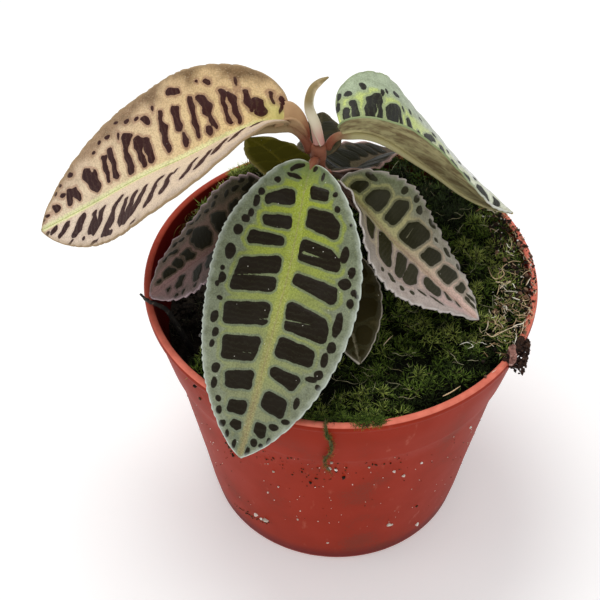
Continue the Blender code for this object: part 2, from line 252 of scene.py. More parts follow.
def palette(tones):
    return [paint(*tone) for tone in tones]


def scaled(colour, gain):
    return (*[min(1.0, part * gain) for part in colour[:3]], 1.0)


class Signal:
    # One socket of a finish; sums on it add Math nodes.
    def __init__(self, finish, socket):
        self.finish = finish
        self.socket = socket

    def maths(self, operation, first, second):
        return self.finish.node("ShaderNodeMath", {"operation": operation}, {0: first, 1: second})

    def __add__(self, other):
        return self.maths("ADD", self, other)

    def __radd__(self, other):
        return self.maths("ADD", other, self)

    def __sub__(self, other):
        return self.maths("SUBTRACT", self, other)

    def __rsub__(self, other):
        return self.maths("SUBTRACT", other, self)

    def __mul__(self, other):
        return self.maths("MULTIPLY", self, other)

    def __rmul__(self, other):
        return self.maths("MULTIPLY", other, self)


class Finish:
    # One material; its methods add nodes and hand back their outputs.
    def __init__(self, name):
        self.material = bpy.data.materials.new(name)
        self.material.use_nodes = True
        self.tree = self.material.node_tree
        self.shader = self.tree.nodes["Principled BSDF"]
        self.place = self.node("ShaderNodeTexCoord", output="Object")

    def node(self, kind, settings=None, inputs=None, output=0):
        made = self.tree.nodes.new(kind)
        for key, value in (settings or {}).items():
            setattr(made, key, value)
        for key, value in (inputs or {}).items():
            if isinstance(value, Signal):
                self.tree.links.new(value.socket, made.inputs[key])
            else:
                made.inputs[key].default_value = value
        return Signal(self, made.outputs[output])

    def number(self, name):
        return self.node("ShaderNodeAttribute", {"attribute_name": name}, output="Fac")

    def noise(self, size, detail=2.0, place=None):
        return self.node("ShaderNodeTexNoise", None,
                         {"Vector": place or self.place, "Scale": 1000 / size, "Detail": detail})

    def cells(self, size):
        return self.node("ShaderNodeTexVoronoi", None, {"Vector": self.place, "Scale": 1000 / size})

    def wave(self, value):
        return self.node("ShaderNodeMath", {"operation": "SINE"}, {0: value})

    def coordinate(self, axis):
        # The place along one axis, in millimetres.
        return self.node("ShaderNodeSeparateXYZ", None, {0: self.place}, axis) * 1000

    def stretched(self, x, y, z):
        return self.node("ShaderNodeMapping", None, {"Vector": self.place, "Scale": (x, y, z)})

    def between(self, value, low, high):
        return self.node("ShaderNodeMapRange", {"interpolation_type": "SMOOTHSTEP"},
                         {"Value": value, "From Min": low, "From Max": high})

    def blend(self, factor, first, second, way="MIX"):
        return self.node("ShaderNodeMix", {"data_type": "RGBA", "blend_type": way, "clamp_factor": True},
                         {0: factor, 6: first, 7: second}, 2)

    def shade(self, factor, colour, tone):
        # Darkens a colour by a tone of light.
        return self.blend(factor, colour, (*tone, 1.0), "MULTIPLY")

    def bump(self, height, depth, strength):
        return self.node("ShaderNodeBump", None,
                         {"Height": height, "Distance": depth * mm, "Strength": strength})

    def set(self, **sockets):
        for key, value in sockets.items():
            socket = self.shader.inputs[key.replace("_", " ")]
            if isinstance(value, Signal):
                self.tree.links.new(value.socket, socket)
            else:
                socket.default_value = value
        return self.material


# Camera, light and floor

view = dict(
    elevation=45.3, distance=348.0, roll=-1.64, focalPixels=1300.0, framePixels=600, rimPixel=(339.6, 270.8),
    rimHeight=82.0, sensor=36.0, nearest=0.01)


def turned(axis, angle, vector):
    return Matrix.Rotation(angle, 3, axis) @ vector


def addCamera():
    angle = math.radians(view["elevation"])
    forward = Vector((0, math.cos(angle), -math.sin(angle)))
    right = Vector((1, 0, 0))
    up = right.cross(forward)
    spot = Vector((0, 0, view["rimHeight"])) - forward * view["distance"]
    middle = view["framePixels"] / 2
    side = (view["rimPixel"][0] - middle) / view["focalPixels"]
    drop = (middle - view["rimPixel"][1]) / view["focalPixels"]
    pan = math.atan2(side, math.hypot(1, drop))
    nod = math.atan2(drop, 1)
    forward, right = turned(up, pan, forward), turned(up, pan, right)
    forward, up = turned(right, -nod, forward), turned(right, -nod, up)
    roll = math.radians(view["roll"])
    right, up = turned(forward, roll, right), turned(forward, roll, up)
    lens = bpy.data.cameras.new("camera")
    lens.sensor_width = view["sensor"]
    lens.lens = view["sensor"] * view["focalPixels"] / view["framePixels"]
    lens.clip_start = view["nearest"]
    camera = bpy.data.objects.new("camera", lens)
    bpy.context.scene.collection.objects.link(camera)
    axes = Matrix((right, up, -forward)).transposed().to_4x4()
    camera.matrix_world = Matrix.Translation(spot * mm) @ axes
    bpy.context.scene.camera = camera


light = dict(
    overhead=dict(at=(-90, 140, 620), aim=(0, 0, 90), size=300, power=1.5, tint=(1.0, 0.99, 0.97)),
    front=dict(at=(160, -620, 330), aim=(0, 0, 60), size=420, power=0.7, tint=(1.0, 0.99, 0.98)),
    left=dict(at=(-560, -120, 260), aim=(0, 0, 70), size=300, power=0.35, tint=(0.97, 0.99, 1.0)),
    sky=(0.97, 0.98, 1.0), skyStrength=0.55, floorTone=(250, 250, 249), floorGlow=0.22)


def addLights():
    for name in ("overhead", "front", "left"):
        settings = light[name]
        lamp = bpy.data.lights.new(name, "AREA")
        lamp.shape = "DISK"
        lamp.size = settings["size"] * mm
        lamp.energy = settings["power"]
        lamp.color = settings["tint"]
        item = bpy.data.objects.new(name, lamp)
        bpy.context.scene.collection.objects.link(item)
        spot, aim = Vector(settings["at"]) * mm, Vector(settings["aim"]) * mm
        facing = (aim - spot).to_track_quat("-Z", "Y").to_matrix().to_4x4()
        item.matrix_world = Matrix.Translation(spot) @ facing
    world = bpy.data.worlds.new("studio")
    world.use_nodes = True
    backdrop = world.node_tree.nodes["Background"]
    backdrop.inputs["Color"].default_value = (*light["sky"], 1.0)
    backdrop.inputs["Strength"].default_value = light["skyStrength"]
    bpy.context.scene.world = world
    bpy.context.scene.view_settings.view_transform = "Standard"


def addFloor():
    clearSelection()
    bpy.ops.mesh.primitive_plane_add(size=4.0, location=(0, 0, -0.0002))
    floor = bpy.context.object
    floor.name = "floor"
    finish = Finish("floorPaint")
    grain = finish.noise(3.0, 3)
    tone = paint(*light["floorTone"])
    finish.set(Base_Color=finish.blend(grain, tone, scaled(tone, 0.985)), Roughness=0.85,
               Emission_Color=(1.0, 1.0, 1.0, 1.0), Emission_Strength=light["floorGlow"])
    floor.data.materials.append(finish.material)


addCamera()
addLights()
addFloor()
print("camera, light and floor are in place")


# Ground: shared heights of the soil and moss

pot = dict(
    rimRadius=52.5, rimHeight=82.0, lipWidth=2.0, lipHeight=2.6, collarHeight=20.6, collarRadius=48.0,
    wallRadius=47.0, baseRadius=37.0, wall=1.2, floor=1.6, steps=180, holes=6, holeRadius=4.0, holeRing=24.0,
    merge=0.01, tone=(150, 38, 10), lipHighlightTone=(238, 132, 110), innerShadeTone=(104, 20, 16),
    scuffTone=(196, 120, 100), dustTone=(96, 62, 48))
ground = dict(
    soilHeight=67.0, soilDip=2.0, mossHeight=79.3, rightRise=3.0, backRise=1.6, bump=1.2, shoulder=2.4,
    bare=(-60.0, -6.0), bareRadius=33.0, bareLevel=66.0)
stem = dict(
    foot=(-5.5, 3.1, 59.0), top=(-6.4, 4.0, 122.6), footRadius=2.2, topRadius=1.75, swelling=0.3,
    tones=((74, 32, 19), (113, 57, 38), (148, 94, 72)))
gap = 0.3


def innerRadius(height):
    stepHeight = pot["rimHeight"] - pot["collarHeight"]
    height = np.asarray(height, float)
    upper = pot["collarRadius"] - pot["wall"] + (
        pot["rimRadius"] - pot["lipWidth"] - pot["collarRadius"] + pot["wall"]) * (
        height - stepHeight) / pot["collarHeight"]
    lower = pot["baseRadius"] - pot["wall"] + (pot["wallRadius"] - pot["baseRadius"]) * height / stepHeight
    return np.where(height >= stepHeight, upper, lower)


def outerRadius(height):
    stepHeight = pot["rimHeight"] - pot["collarHeight"]
    height = np.asarray(height, float)
    upper = pot["collarRadius"] + (pot["rimRadius"] - 0.7 - pot["collarRadius"]) * (
        height - stepHeight) / (pot["collarHeight"] - pot["lipHeight"])
    lower = pot["baseRadius"] + (pot["wallRadius"] - pot["baseRadius"]) * height / stepHeight
    return np.where(height >= stepHeight, upper, lower)


def waves(x, y):
    return (np.sin(0.42 * x + 0.9) * np.sin(0.37 * y - 0.4) + 0.6 * np.sin(0.23 * x - 0.55 * y + 2.0)
            + 0.5 * np.sin(0.71 * x + 0.33 * y)) / 1.9


def mossHeight(x, y):
    right = ramp(x, -5.0, 48.0)
    back = ramp(-x, 5.0, 30.0) * ramp(y, 15.0, 42.0)
    return (ground["mossHeight"] + ground["rightRise"] * right + ground["backRise"] * back
            + ground["bump"] * waves(x, y))


def soilHeight(x, y):
    inside = ground["bareRadius"] - np.hypot(x - ground["bare"][0], y - ground["bare"][1])
    return ground["soilHeight"] - ramp(inside, 0.0, 8.0) * (ground["soilDip"] + 0.8 * waves(x * 1.7, y * 1.7))


def stemSpot(height):
    foot, top = stem["foot"], stem["top"]
    part = (height - foot[2]) / (top[2] - foot[2])
    x, y = foot[0] + (top[0] - foot[0]) * part, foot[1] + (top[1] - foot[1]) * part
    return x, y, stem["footRadius"] + (stem["topRadius"] - stem["footRadius"]) * part


# Leaves
# height is where the stalk leaves the stem; pitch, yaw, roll, fold and curl bend the blade as in the solid it
# replaces. Dark patches are corner lists (share along the blade, share of the half width), spots are
# (along, across, half length, half width), and splits are pale lines inside patches, between two such places.

plainPatches = (
    ((0.1, 0.15), (0.24, 0.12), (0.28, 0.75), (0.15, 0.75)),
    ((0.28, 0.12), (0.44, 0.1), (0.48, 0.78), (0.33, 0.78)),
    ((0.48, 0.12), (0.62, 0.1), (0.66, 0.76), (0.53, 0.78)),
    ((0.66, 0.12), (0.78, 0.1), (0.81, 0.7), (0.7, 0.75)))
shortPatches = (
    ((0.1, 0.15), (0.4, 0.1), (0.45, 0.75), (0.2, 0.75)),
    ((0.48, 0.12), (0.75, 0.1), (0.75, 0.7), (0.55, 0.75)))

# The upper left and right leaves' tones are painted lighter than the front leaf's as painted highlight, and
# the low left, low front and back leaves' darker, partly their own colour and partly painted shade from the
# leaves above.
leaves = dict(
    leafFront=dict(
        node="leaf_front", slot="leaf_green", mesh=(270, 72), thick=0.5, height=119.0, heading=-104,
        stalk=4.0, blade=75.0, left=19.0, right=20.5, widest=0.46, fullness=1.47,
        pitch=(45, 10, -30.5, -56.5), yaw=(-103, -102.5, -104.5, -114), roll=(-11, 8.5, -5.5),
        fold=(28, 3, 8.5), curl=(-22, -13), teeth=(24, 42), toothDepth=0.36, saw=0.35, ragged=0.5,
        grow=dict(left=0.25, right=0.25), stalkRadius=1.2, ribWidth=(2.0, 0.75), ripple=0.12,
        leftPatches=(
            ((0.09, 0.15), (0.13, 0.2), (0.13, 0.55), (0.1, 0.6)),
            ((0.162, 0.17), (0.218, 0.15), (0.248, 0.65), (0.2, 0.7), (0.168, 0.6)),
            ((0.261, 0.12), (0.33, 0.1), (0.351, 0.68), (0.31, 0.68), (0.282, 0.55)),
            ((0.376, 0.1), (0.41, 0.1), (0.459, 0.7), (0.402, 0.68)),
            ((0.469, 0.1), (0.56, 0.15), (0.579, 0.72), (0.53, 0.7), (0.505, 0.62)),
            ((0.587, 0.12), (0.648, 0.12), (0.657, 0.68), (0.606, 0.62)),
            ((0.684, 0.12), (0.711, 0.15), (0.741, 0.57), (0.697, 0.62)),
            ((0.762, 0.17), (0.815, 0.15), (0.836, 0.7), (0.775, 0.57)),
            ((0.866, 0.2), (0.899, 0.24), (0.914, 0.52), (0.903, 0.6), (0.873, 0.48))),
        rightPatches=(
            ((0.028, 0.36), (0.024, 0.47), (0.038, 0.6), (0.06, 0.6), (0.046, 0.44)),
            ((0.114, 0.21), (0.151, 0.14), (0.16, 0.2), (0.164, 0.6), (0.155, 0.64), (0.138, 0.58),
             (0.123, 0.47)),
            ((0.197, 0.12), (0.237, 0.1), (0.237, 0.45), (0.208, 0.57)),
            ((0.267, 0.15), (0.294, 0.15), (0.305, 0.62), (0.263, 0.6)),
            ((0.33, 0.12), (0.385, 0.12), (0.406, 0.65), (0.36, 0.62)),
            ((0.404, 0.12), (0.448, 0.12), (0.463, 0.68), (0.39, 0.64), (0.398, 0.45)),
            ((0.488, 0.12), (0.558, 0.1), (0.583, 0.68), (0.511, 0.7)),
            ((0.604, 0.12), (0.682, 0.17), (0.701, 0.65), (0.625, 0.65)),
            ((0.713, 0.12), (0.772, 0.12), (0.789, 0.57), (0.741, 0.57)),
            ((0.815, 0.12), (0.857, 0.17), (0.863, 0.57), (0.825, 0.47)),
            ((0.885, 0.2), (0.902, 0.2), (0.914, 0.34), (0.9, 0.52), (0.884, 0.4))),
        leftSpots=(
            (0.055, 0.56, 0.8, 0.3), (0.027, 0.32, 0.8, 0.5), (0.192, 0.91, 0.3, 0.25),
            (0.414, 0.95, 0.4, 0.4), (0.916, 0.84, 0.7, 0.4), (0.935, 0.45, 0.9, 0.8),
            (0.939, 0.8, 0.5, 0.4), (0.972, 0.5, 1.0, 0.4), (0.107, 0.75, 0.6, 0.5),
            (0.151, 0.72, 0.7, 0.6), (0.29, 0.75, 2.0, 0.9), (0.343, 0.85, 1.3, 0.8),
            (0.383, 0.77, 1.3, 1.4), (0.404, 0.9, 0.8, 0.6), (0.44, 0.88, 1.0, 0.8), (0.513, 0.8, 2.7, 1.0),
            (0.583, 0.82, 1.2, 1.0), (0.625, 0.8, 1.6, 0.8), (0.673, 0.82, 1.0, 1.0),
            (0.692, 0.75, 0.6, 1.2), (0.709, 0.9, 0.6, 0.6), (0.775, 0.75, 1.2, 0.6), (0.84, 0.8, 0.6, 0.9),
            (0.867, 0.65, 0.7, 1.0)),
        rightSpots=(
            (0.073, 0.38, 0.4, 1.5), (0.097, 0.66, 0.5, 0.7), (0.4, 0.82, 0.6, 0.5),
            (0.499, 0.78, 0.5, 0.8), (0.936, 0.75, 0.9, 0.4), (0.96, 0.5, 1.0, 0.4),
            (0.909, 0.85, 0.6, 0.4), (0.138, 0.78, 0.7, 0.7), (0.168, 0.75, 1.2, 0.7),
            (0.206, 0.72, 0.9, 0.6), (0.229, 0.75, 0.9, 0.9), (0.269, 0.78, 1.3, 1.1),
            (0.343, 0.78, 1.9, 1.3), (0.431, 0.8, 1.2, 1.0), (0.452, 0.85, 0.6, 0.6),
            (0.568, 0.82, 1.5, 1.1), (0.621, 0.78, 1.2, 0.9), (0.663, 0.82, 0.9, 0.6),
            (0.739, 0.75, 1.2, 1.1), (0.789, 0.8, 1.4, 0.7), (0.834, 0.75, 0.7, 0.7),
            (0.869, 0.78, 1.0, 0.7), (0.907, 0.75, 0.8, 0.5)),
        leftSplits=((0.305, 0.16, 0.313, 0.44, 0.3), (0.532, 0.1, 0.532, 0.47, 0.16)),
        rightSplits=(
            (0.394, 0.1, 0.408, 0.5, 0.34), (0.404, 0.4, 0.416, 0.64, 0.14),
            (0.539, 0.1, 0.551, 0.25, 0.15), (0.661, 0.22, 0.667, 0.4, 0.1)),
        tones=dict(
            margin=((122, 130, 104), (142, 148, 124)), halo=((122, 132, 90), (122, 130, 108)),
            vein=((150, 162, 58), (142, 146, 112)), rib=((156, 170, 56), (150, 140, 100)),
            speck=(196, 200, 140), patch=((29, 22, 11), (31, 25, 15)), gloss=(39, 34, 27),
            edge=(206, 214, 202), under=(126, 124, 84), underShade=(96, 90, 58), foot=(96, 112, 76),
            line=(160, 142, 106), lineShare=0.36, lines=0.03, dust=0.6, reach=(1.05, 1.75))),
    leafLeft=dict(
        node="leaf_left", slot="leaf_bronze", mesh=(270, 72), thick=0.5, height=120.0, heading=170,
        stalk=9.5, blade=74.0, left=21.0, right=22.0, widest=0.38, fullness=1.25,
        pitch=(83, 23, -30.5, -33.5), yaw=(153, 182.5, 181.5, 180), roll=(8, -7, -27.5),
        fold=(48, 24.5, 14.5), curl=(-23, -7.5), teeth=(26, 26), toothDepth=0.25, ragged=1.1,
        wing=(-0.12, 0.045, 6.0), wingTone=(184, 150, 112), grow=dict(left=0.3, right=0.12),
        stalkRadius=1.2, ribWidth=(1.3, 0.9), ripple=0.1,
        leftPatches=(
            ((0.923, 0.23), (0.934, 0.25), (0.949, 0.36), (0.954, 0.66), (0.946, 0.62), (0.927, 0.4)),
            ((0.861, 0.22), (0.876, 0.21), (0.895, 0.34), (0.902, 0.5), (0.921, 0.7), (0.914, 0.75),
             (0.899, 0.64), (0.868, 0.38)),
            ((0.785, 0.18), (0.8, 0.18), (0.82, 0.26), (0.826, 0.41), (0.848, 0.6), (0.857, 0.69),
             (0.848, 0.74), (0.838, 0.73), (0.807, 0.56), (0.793, 0.4)),
            ((0.737, 0.25), (0.746, 0.29), (0.749, 0.42), (0.757, 0.54), (0.776, 0.7), (0.772, 0.73),
             (0.75, 0.72), (0.735, 0.6), (0.731, 0.45)),
            ((0.698, 0.26), (0.704, 0.28), (0.719, 0.44), (0.73, 0.56), (0.748, 0.68), (0.753, 0.78),
             (0.743, 0.78), (0.723, 0.7), (0.704, 0.6), (0.698, 0.45)),
            ((0.606, 0.27), (0.62, 0.31), (0.638, 0.36), (0.645, 0.48), (0.66, 0.57), (0.68, 0.7),
             (0.7, 0.83), (0.695, 0.86), (0.677, 0.77), (0.648, 0.75), (0.635, 0.7), (0.635, 0.55),
             (0.635, 0.4)),
            ((0.682, 0.75), (0.703, 0.83), (0.702, 0.87), (0.68, 0.88), (0.648, 0.88), (0.642, 0.85),
             (0.665, 0.81)),
            ((0.577, 0.35), (0.587, 0.42), (0.592, 0.53), (0.6, 0.63), (0.61, 0.68), (0.608, 0.78),
             (0.599, 0.85), (0.586, 0.82), (0.58, 0.7), (0.58, 0.5)),
            ((0.534, 0.32), (0.546, 0.38), (0.558, 0.5), (0.566, 0.6), (0.575, 0.73), (0.59, 0.85),
             (0.57, 0.85), (0.55, 0.77), (0.544, 0.64), (0.538, 0.48)),
            ((0.493, 0.34), (0.501, 0.38), (0.507, 0.48), (0.519, 0.56), (0.53, 0.62), (0.54, 0.69),
             (0.559, 0.78), (0.588, 0.86), (0.56, 0.84), (0.526, 0.76), (0.508, 0.67), (0.494, 0.55)),
            ((0.418, 0.35), (0.441, 0.36), (0.453, 0.46), (0.457, 0.6), (0.467, 0.69), (0.477, 0.77),
             (0.482, 0.83), (0.468, 0.82), (0.453, 0.76), (0.446, 0.63), (0.445, 0.5), (0.43, 0.4)),
            ((0.391, 0.39), (0.4, 0.43), (0.404, 0.55), (0.411, 0.62), (0.42, 0.72), (0.421, 0.77),
             (0.411, 0.77), (0.398, 0.71), (0.393, 0.62), (0.396, 0.5)),
            ((0.369, 0.38), (0.376, 0.4), (0.386, 0.46), (0.379, 0.47)),
            ((0.3, 0.4), (0.316, 0.45), (0.328, 0.58), (0.343, 0.67), (0.355, 0.71), (0.343, 0.74),
             (0.325, 0.69), (0.315, 0.57)),
            ((0.19, 0.4), (0.205, 0.4), (0.25, 0.66), (0.23, 0.7)),
            ((0.135, 0.36), (0.15, 0.36), (0.195, 0.64), (0.17, 0.68)),
            ((0.075, 0.3), (0.09, 0.3), (0.13, 0.6), (0.105, 0.62)),
            ((0.247, 0.44), (0.261, 0.48), (0.276, 0.56), (0.293, 0.65), (0.307, 0.72), (0.295, 0.74),
             (0.276, 0.71), (0.258, 0.58))),
        rightPatches=(
            ((0.058, 0.66), (0.051, 0.66), (0.044, 0.53), (0.045, 0.44), (0.052, 0.54)),
            ((0.03, 0.74), (0.024, 0.79), (0.015, 0.77), (0.025, 0.57), (0.03, 0.66)),
            ((0.116, 0.6), (0.104, 0.57), (0.102, 0.42), (0.102, 0.24), (0.111, 0.22), (0.118, 0.36)),
            ((0.099, 0.42), (0.092, 0.46), (0.075, 0.42), (0.065, 0.27), (0.068, 0.19), (0.088, 0.14),
             (0.098, 0.21)),
            ((0.175, 0.66), (0.156, 0.57), (0.169, 0.44), (0.176, 0.29), (0.172, 0.14), (0.18, 0.12),
             (0.188, 0.21), (0.179, 0.48)),
            ((0.158, 0.6), (0.143, 0.54), (0.139, 0.46), (0.142, 0.34), (0.146, 0.11), (0.156, 0.1),
             (0.159, 0.34), (0.158, 0.47)),
            ((0.283, 0.66), (0.264, 0.64), (0.276, 0.43), (0.29, 0.15), (0.3, 0.12), (0.299, 0.34)),
            ((0.26, 0.62), (0.243, 0.63), (0.222, 0.57), (0.212, 0.46), (0.222, 0.37), (0.244, 0.31),
             (0.252, 0.38), (0.242, 0.46)),
            ((0.24, 0.36), (0.227, 0.34), (0.223, 0.16), (0.232, 0.14), (0.237, 0.21)),
            ((0.259, 0.22), (0.243, 0.23), (0.247, 0.12), (0.26, 0.09), (0.264, 0.15)),
            ((0.417, 0.68), (0.405, 0.66), (0.415, 0.52), (0.397, 0.44), (0.408, 0.34), (0.407, 0.14),
             (0.421, 0.1), (0.431, 0.27), (0.428, 0.58)),
            ((0.36, 0.64), (0.33, 0.6), (0.34, 0.47), (0.338, 0.38), (0.36, 0.27), (0.367, 0.34),
             (0.367, 0.56)),
            ((0.348, 0.29), (0.338, 0.28), (0.337, 0.14), (0.348, 0.09), (0.358, 0.11)),
            ((0.577, 0.68), (0.539, 0.59), (0.542, 0.55), (0.569, 0.43), (0.557, 0.15), (0.566, 0.1),
             (0.585, 0.1), (0.583, 0.46)),
            ((0.538, 0.52), (0.516, 0.52), (0.496, 0.43), (0.515, 0.3), (0.512, 0.11), (0.522, 0.09),
             (0.54, 0.39)),
            ((0.508, 0.47), (0.479, 0.41), (0.479, 0.28), (0.474, 0.13), (0.485, 0.09), (0.499, 0.12),
             (0.506, 0.34)),
            ((0.677, 0.6), (0.649, 0.56), (0.659, 0.47), (0.664, 0.17), (0.676, 0.14), (0.678, 0.49)),
            ((0.653, 0.64), (0.627, 0.59), (0.626, 0.34), (0.627, 0.16), (0.637, 0.12), (0.647, 0.2),
             (0.643, 0.45)),
            ((0.767, 0.66), (0.73, 0.58), (0.711, 0.48), (0.707, 0.16), (0.73, 0.13), (0.744, 0.21),
             (0.771, 0.54)),
            ((0.849, 0.64), (0.808, 0.48), (0.826, 0.38), (0.843, 0.22), (0.858, 0.24), (0.858, 0.43)),
            ((0.819, 0.52), (0.805, 0.47), (0.798, 0.22), (0.809, 0.17), (0.825, 0.34)),
            ((0.925, 0.67), (0.903, 0.56), (0.89, 0.35), (0.906, 0.29), (0.922, 0.38)),
            ((0.374, 0.84), (0.35, 0.86), (0.303, 0.79), (0.301, 0.72), (0.337, 0.75), (0.365, 0.8)),
            ((0.209, 0.78), (0.199, 0.81), (0.192, 0.78), (0.193, 0.72), (0.205, 0.72)),
            ((0.499, 0.71), (0.481, 0.72), (0.461, 0.62), (0.469, 0.56), (0.486, 0.61))),
        leftSpots=(
            (0.97, 0.6, 0.6, 0.4), (0.797, 0.81, 0.5, 0.5), (0.75, 0.94, 1.5, 0.3), (0.866, 0.89, 1.0, 0.3),
            (0.53, 0.94, 0.9, 0.3)),
        rightSpots=(
            (0.028, 0.45, 0.3, 1.2), (0.23, 0.8, 0.45, 0.45), (0.126, 0.72, 0.3, 1.2),
            (0.445, 0.74, 0.4, 0.8), (0.51, 0.73, 0.8, 0.6), (0.55, 0.79, 0.75, 0.55),
            (0.592, 0.88, 0.8, 0.4), (0.634, 0.79, 0.9, 0.6), (0.673, 0.82, 0.55, 0.5),
            (0.704, 0.74, 0.6, 0.5), (0.818, 0.81, 1.0, 0.7), (0.871, 0.88, 0.55, 0.5),
            (0.899, 0.89, 0.5, 0.4), (0.869, 0.59, 0.8, 0.5), (0.954, 0.62, 0.8, 0.4),
            (0.976, 0.68, 0.4, 0.3), (0.593, 0.68, 0.35, 0.8)),
        rightSplits=((0.725, 0.5, 0.735, 0.62, 0.25),),
        # The left leaf's tones are lightened throughout as painted highlight, and its pinkish-white wash over
        # one half is a painted sheen where that half faces the light.
        tones=dict(
            margin=((134, 106, 74), (178, 148, 120)), halo=((179, 144, 110), (196, 164, 139)),
            vein=((234, 204, 150), (232, 210, 180)), rib=((242, 238, 180), (236, 234, 180)),
            speck=(250, 238, 206), foot=(206, 200, 120), footZone=0.3, patch=((58, 29, 26), (52, 31, 30)),
            gloss=(70, 46, 45), edge=(172, 146, 112), under=(158, 136, 100), underShade=(128, 104, 74),
            line=(200, 204, 136), lineShare=0.9, wash=(235, 216, 198), washShare=0.55, washSide="left",
            lines=0.05, dust=0.2, reach=(1.2, 4.2))),
    leafRight=dict(
        node="leaf_right", slot="leaf_green", mesh=(240, 72), thick=0.5, height=121.0, heading=15,
        stalk=5.5, blade=64.5, left=23.0, right=19.5, widest=0.26, fullness=1.2, pitch=(74, 23, -48, -27.5),
        yaw=(16, 10.5, 22, 18), roll=(-17, 2, -5), fold=(44.5, 30.5, 36), curl=(-37.5, -13), teeth=(20, 20),
        toothDepth=0.3, ragged=1.0, grow=dict(left=0.3, right=0.1), stalkRadius=1.05, ribWidth=(1.5, 0.8),
        ripple=0.1,
        leftPatches=(
            ((0.012, 0.79), (0.017, 0.69), (0.01, 0.55), (0.006, 0.7)),
            ((0.028, 0.44), (0.038, 0.39), (0.04, 0.18), (0.032, 0.14), (0.024, 0.2)),
            ((0.051, 0.49), (0.064, 0.46), (0.069, 0.11), (0.061, 0.08), (0.054, 0.11)),
            ((0.101, 0.48), (0.118, 0.51), (0.142, 0.59), (0.142, 0.46), (0.128, 0.39), (0.124, 0.1),
             (0.099, 0.11), (0.094, 0.22)),
            ((0.141, 0.58), (0.151, 0.53), (0.153, 0.08), (0.136, 0.05), (0.142, 0.17)),
            ((0.173, 0.39), (0.198, 0.47), (0.24, 0.51), (0.247, 0.42), (0.226, 0.36), (0.202, 0.2),
             (0.18, 0.2)),
            ((0.189, 0.36), (0.207, 0.36), (0.21, 0.13), (0.198, 0.14)),
            ((0.215, 0.4), (0.229, 0.4), (0.227, 0.13), (0.216, 0.16)),
            ((0.236, 0.43), (0.249, 0.42), (0.257, 0.22), (0.246, 0.21)),
            ((0.283, 0.39), (0.3, 0.44), (0.336, 0.21), (0.317, 0.17)),
            ((0.35, 0.2), (0.37, 0.4), (0.4, 0.19), (0.38, 0.15)),
            ((0.411, 0.41), (0.461, 0.49), (0.506, 0.53), (0.466, 0.42), (0.442, 0.17), (0.425, 0.2)),
            ((0.532, 0.48), (0.56, 0.54), (0.569, 0.44), (0.552, 0.37), (0.526, 0.36)),
            ((0.64, 0.07), (0.6, 0.12), (0.62, 0.5), (0.66, 0.45)),
            ((0.74, 0.07), (0.69, 0.07), (0.71, 0.5), (0.75, 0.5)),
            ((0.789, 0.47), (0.831, 0.58), (0.853, 0.38), (0.866, 0.05), (0.819, 0.07)),
            ((0.92, 0.17), (0.89, 0.17), (0.9, 0.6), (0.93, 0.55))),
        rightPatches=(
            ((0.08, 0.15), (0.13, 0.15), (0.14, 0.55), (0.09, 0.6)),
            ((0.17, 0.12), (0.23, 0.12), (0.25, 0.62), (0.19, 0.6)),
            ((0.27, 0.12), (0.34, 0.12), (0.37, 0.62), (0.3, 0.6)),
            ((0.39, 0.12), (0.45, 0.12), (0.48, 0.6), (0.42, 0.62)),
            ((0.5, 0.12), (0.57, 0.12), (0.6, 0.62), (0.53, 0.6)),
            ((0.62, 0.12), (0.69, 0.12), (0.71, 0.62), (0.65, 0.6)),
            ((0.74, 0.15), (0.8, 0.15), (0.82, 0.6), (0.76, 0.6)),
            ((0.85, 0.15), (0.9, 0.15), (0.91, 0.6), (0.86, 0.6))),
        leftSpots=(
            (0.092, 0.69, 0.6, 1.2), (0.048, 0.66, 0.7, 0.9), (0.021, 0.84, 0.3, 1.0),
            (0.161, 0.59, 0.35, 1.0), (0.179, 0.64, 0.3, 0.7), (0.235, 0.68, 1.1, 0.8),
            (0.321, 0.57, 0.7, 0.8), (0.267, 0.51, 0.4, 0.7), (0.42, 0.66, 0.8, 0.5),
            (0.508, 0.61, 0.9, 0.5), (0.603, 0.59, 0.6, 0.6), (0.7, 0.7, 0.8, 0.5), (0.8, 0.72, 0.8, 0.5)),
        rightSpots=(
            (0.2, 0.8, 1.1, 0.8), (0.33, 0.8, 1.2, 0.9), (0.46, 0.8, 1.2, 0.9), (0.6, 0.8, 1.1, 0.8),
            (0.72, 0.8, 0.9, 0.7)),
        # The right leaf's tones whiten from foot to tip as painted reflection of the overhead light, and its
        # underside tone is lightened as painted light shining through the blade.
        tones=dict(
            margin=((182, 196, 165), (250, 250, 246)), halo=((171, 184, 135), (216, 220, 199)),
            vein=((210, 225, 133), (240, 242, 223)), rib=((199, 214, 120), (238, 238, 216)),
            speck=(214, 220, 186), patch=((44, 42, 36), (62, 62, 58)), gloss=(66, 68, 66), band=0.3,
            rimStart=(150, 164, 118), edge=(226, 228, 216), under=(186, 178, 132),
            underShade=(134, 118, 84), crease=0.3, line=(170, 180, 110), lineShare=0.3, lines=0.06,
            dust=0.2, reach=(1.0, 2.4))),
    leafLowRight=dict(
        node="leaf_low_right", slot="leaf_mauve", mesh=(210, 64), thick=0.45, height=108.0, heading=-35,
        stalk=4.0, blade=48.5, left=15.0, right=16.0, widest=0.43, fullness=1.18,
        pitch=(50, 11.5, -32, -26), yaw=(-19, -28.5, -28.5, -31), roll=(0.5, 0.5, -19), fold=(63.5, 6, 14),
        curl=(-13, 13), teeth=(22, 27), toothDepth=0.85, saw=0.9, ragged=0.6,
        grow=dict(left=0.3, right=0.28), stalkRadius=1.0, ribWidth=(1.0, 0.7), ripple=0.3,
        leftPatches=(
            ((0.104, 0.25), (0.054, 0.28), (0.073, 0.5), (0.108, 0.6)),
            ((0.238, 0.17), (0.141, 0.15), (0.145, 0.42), (0.184, 0.6), (0.212, 0.55)),
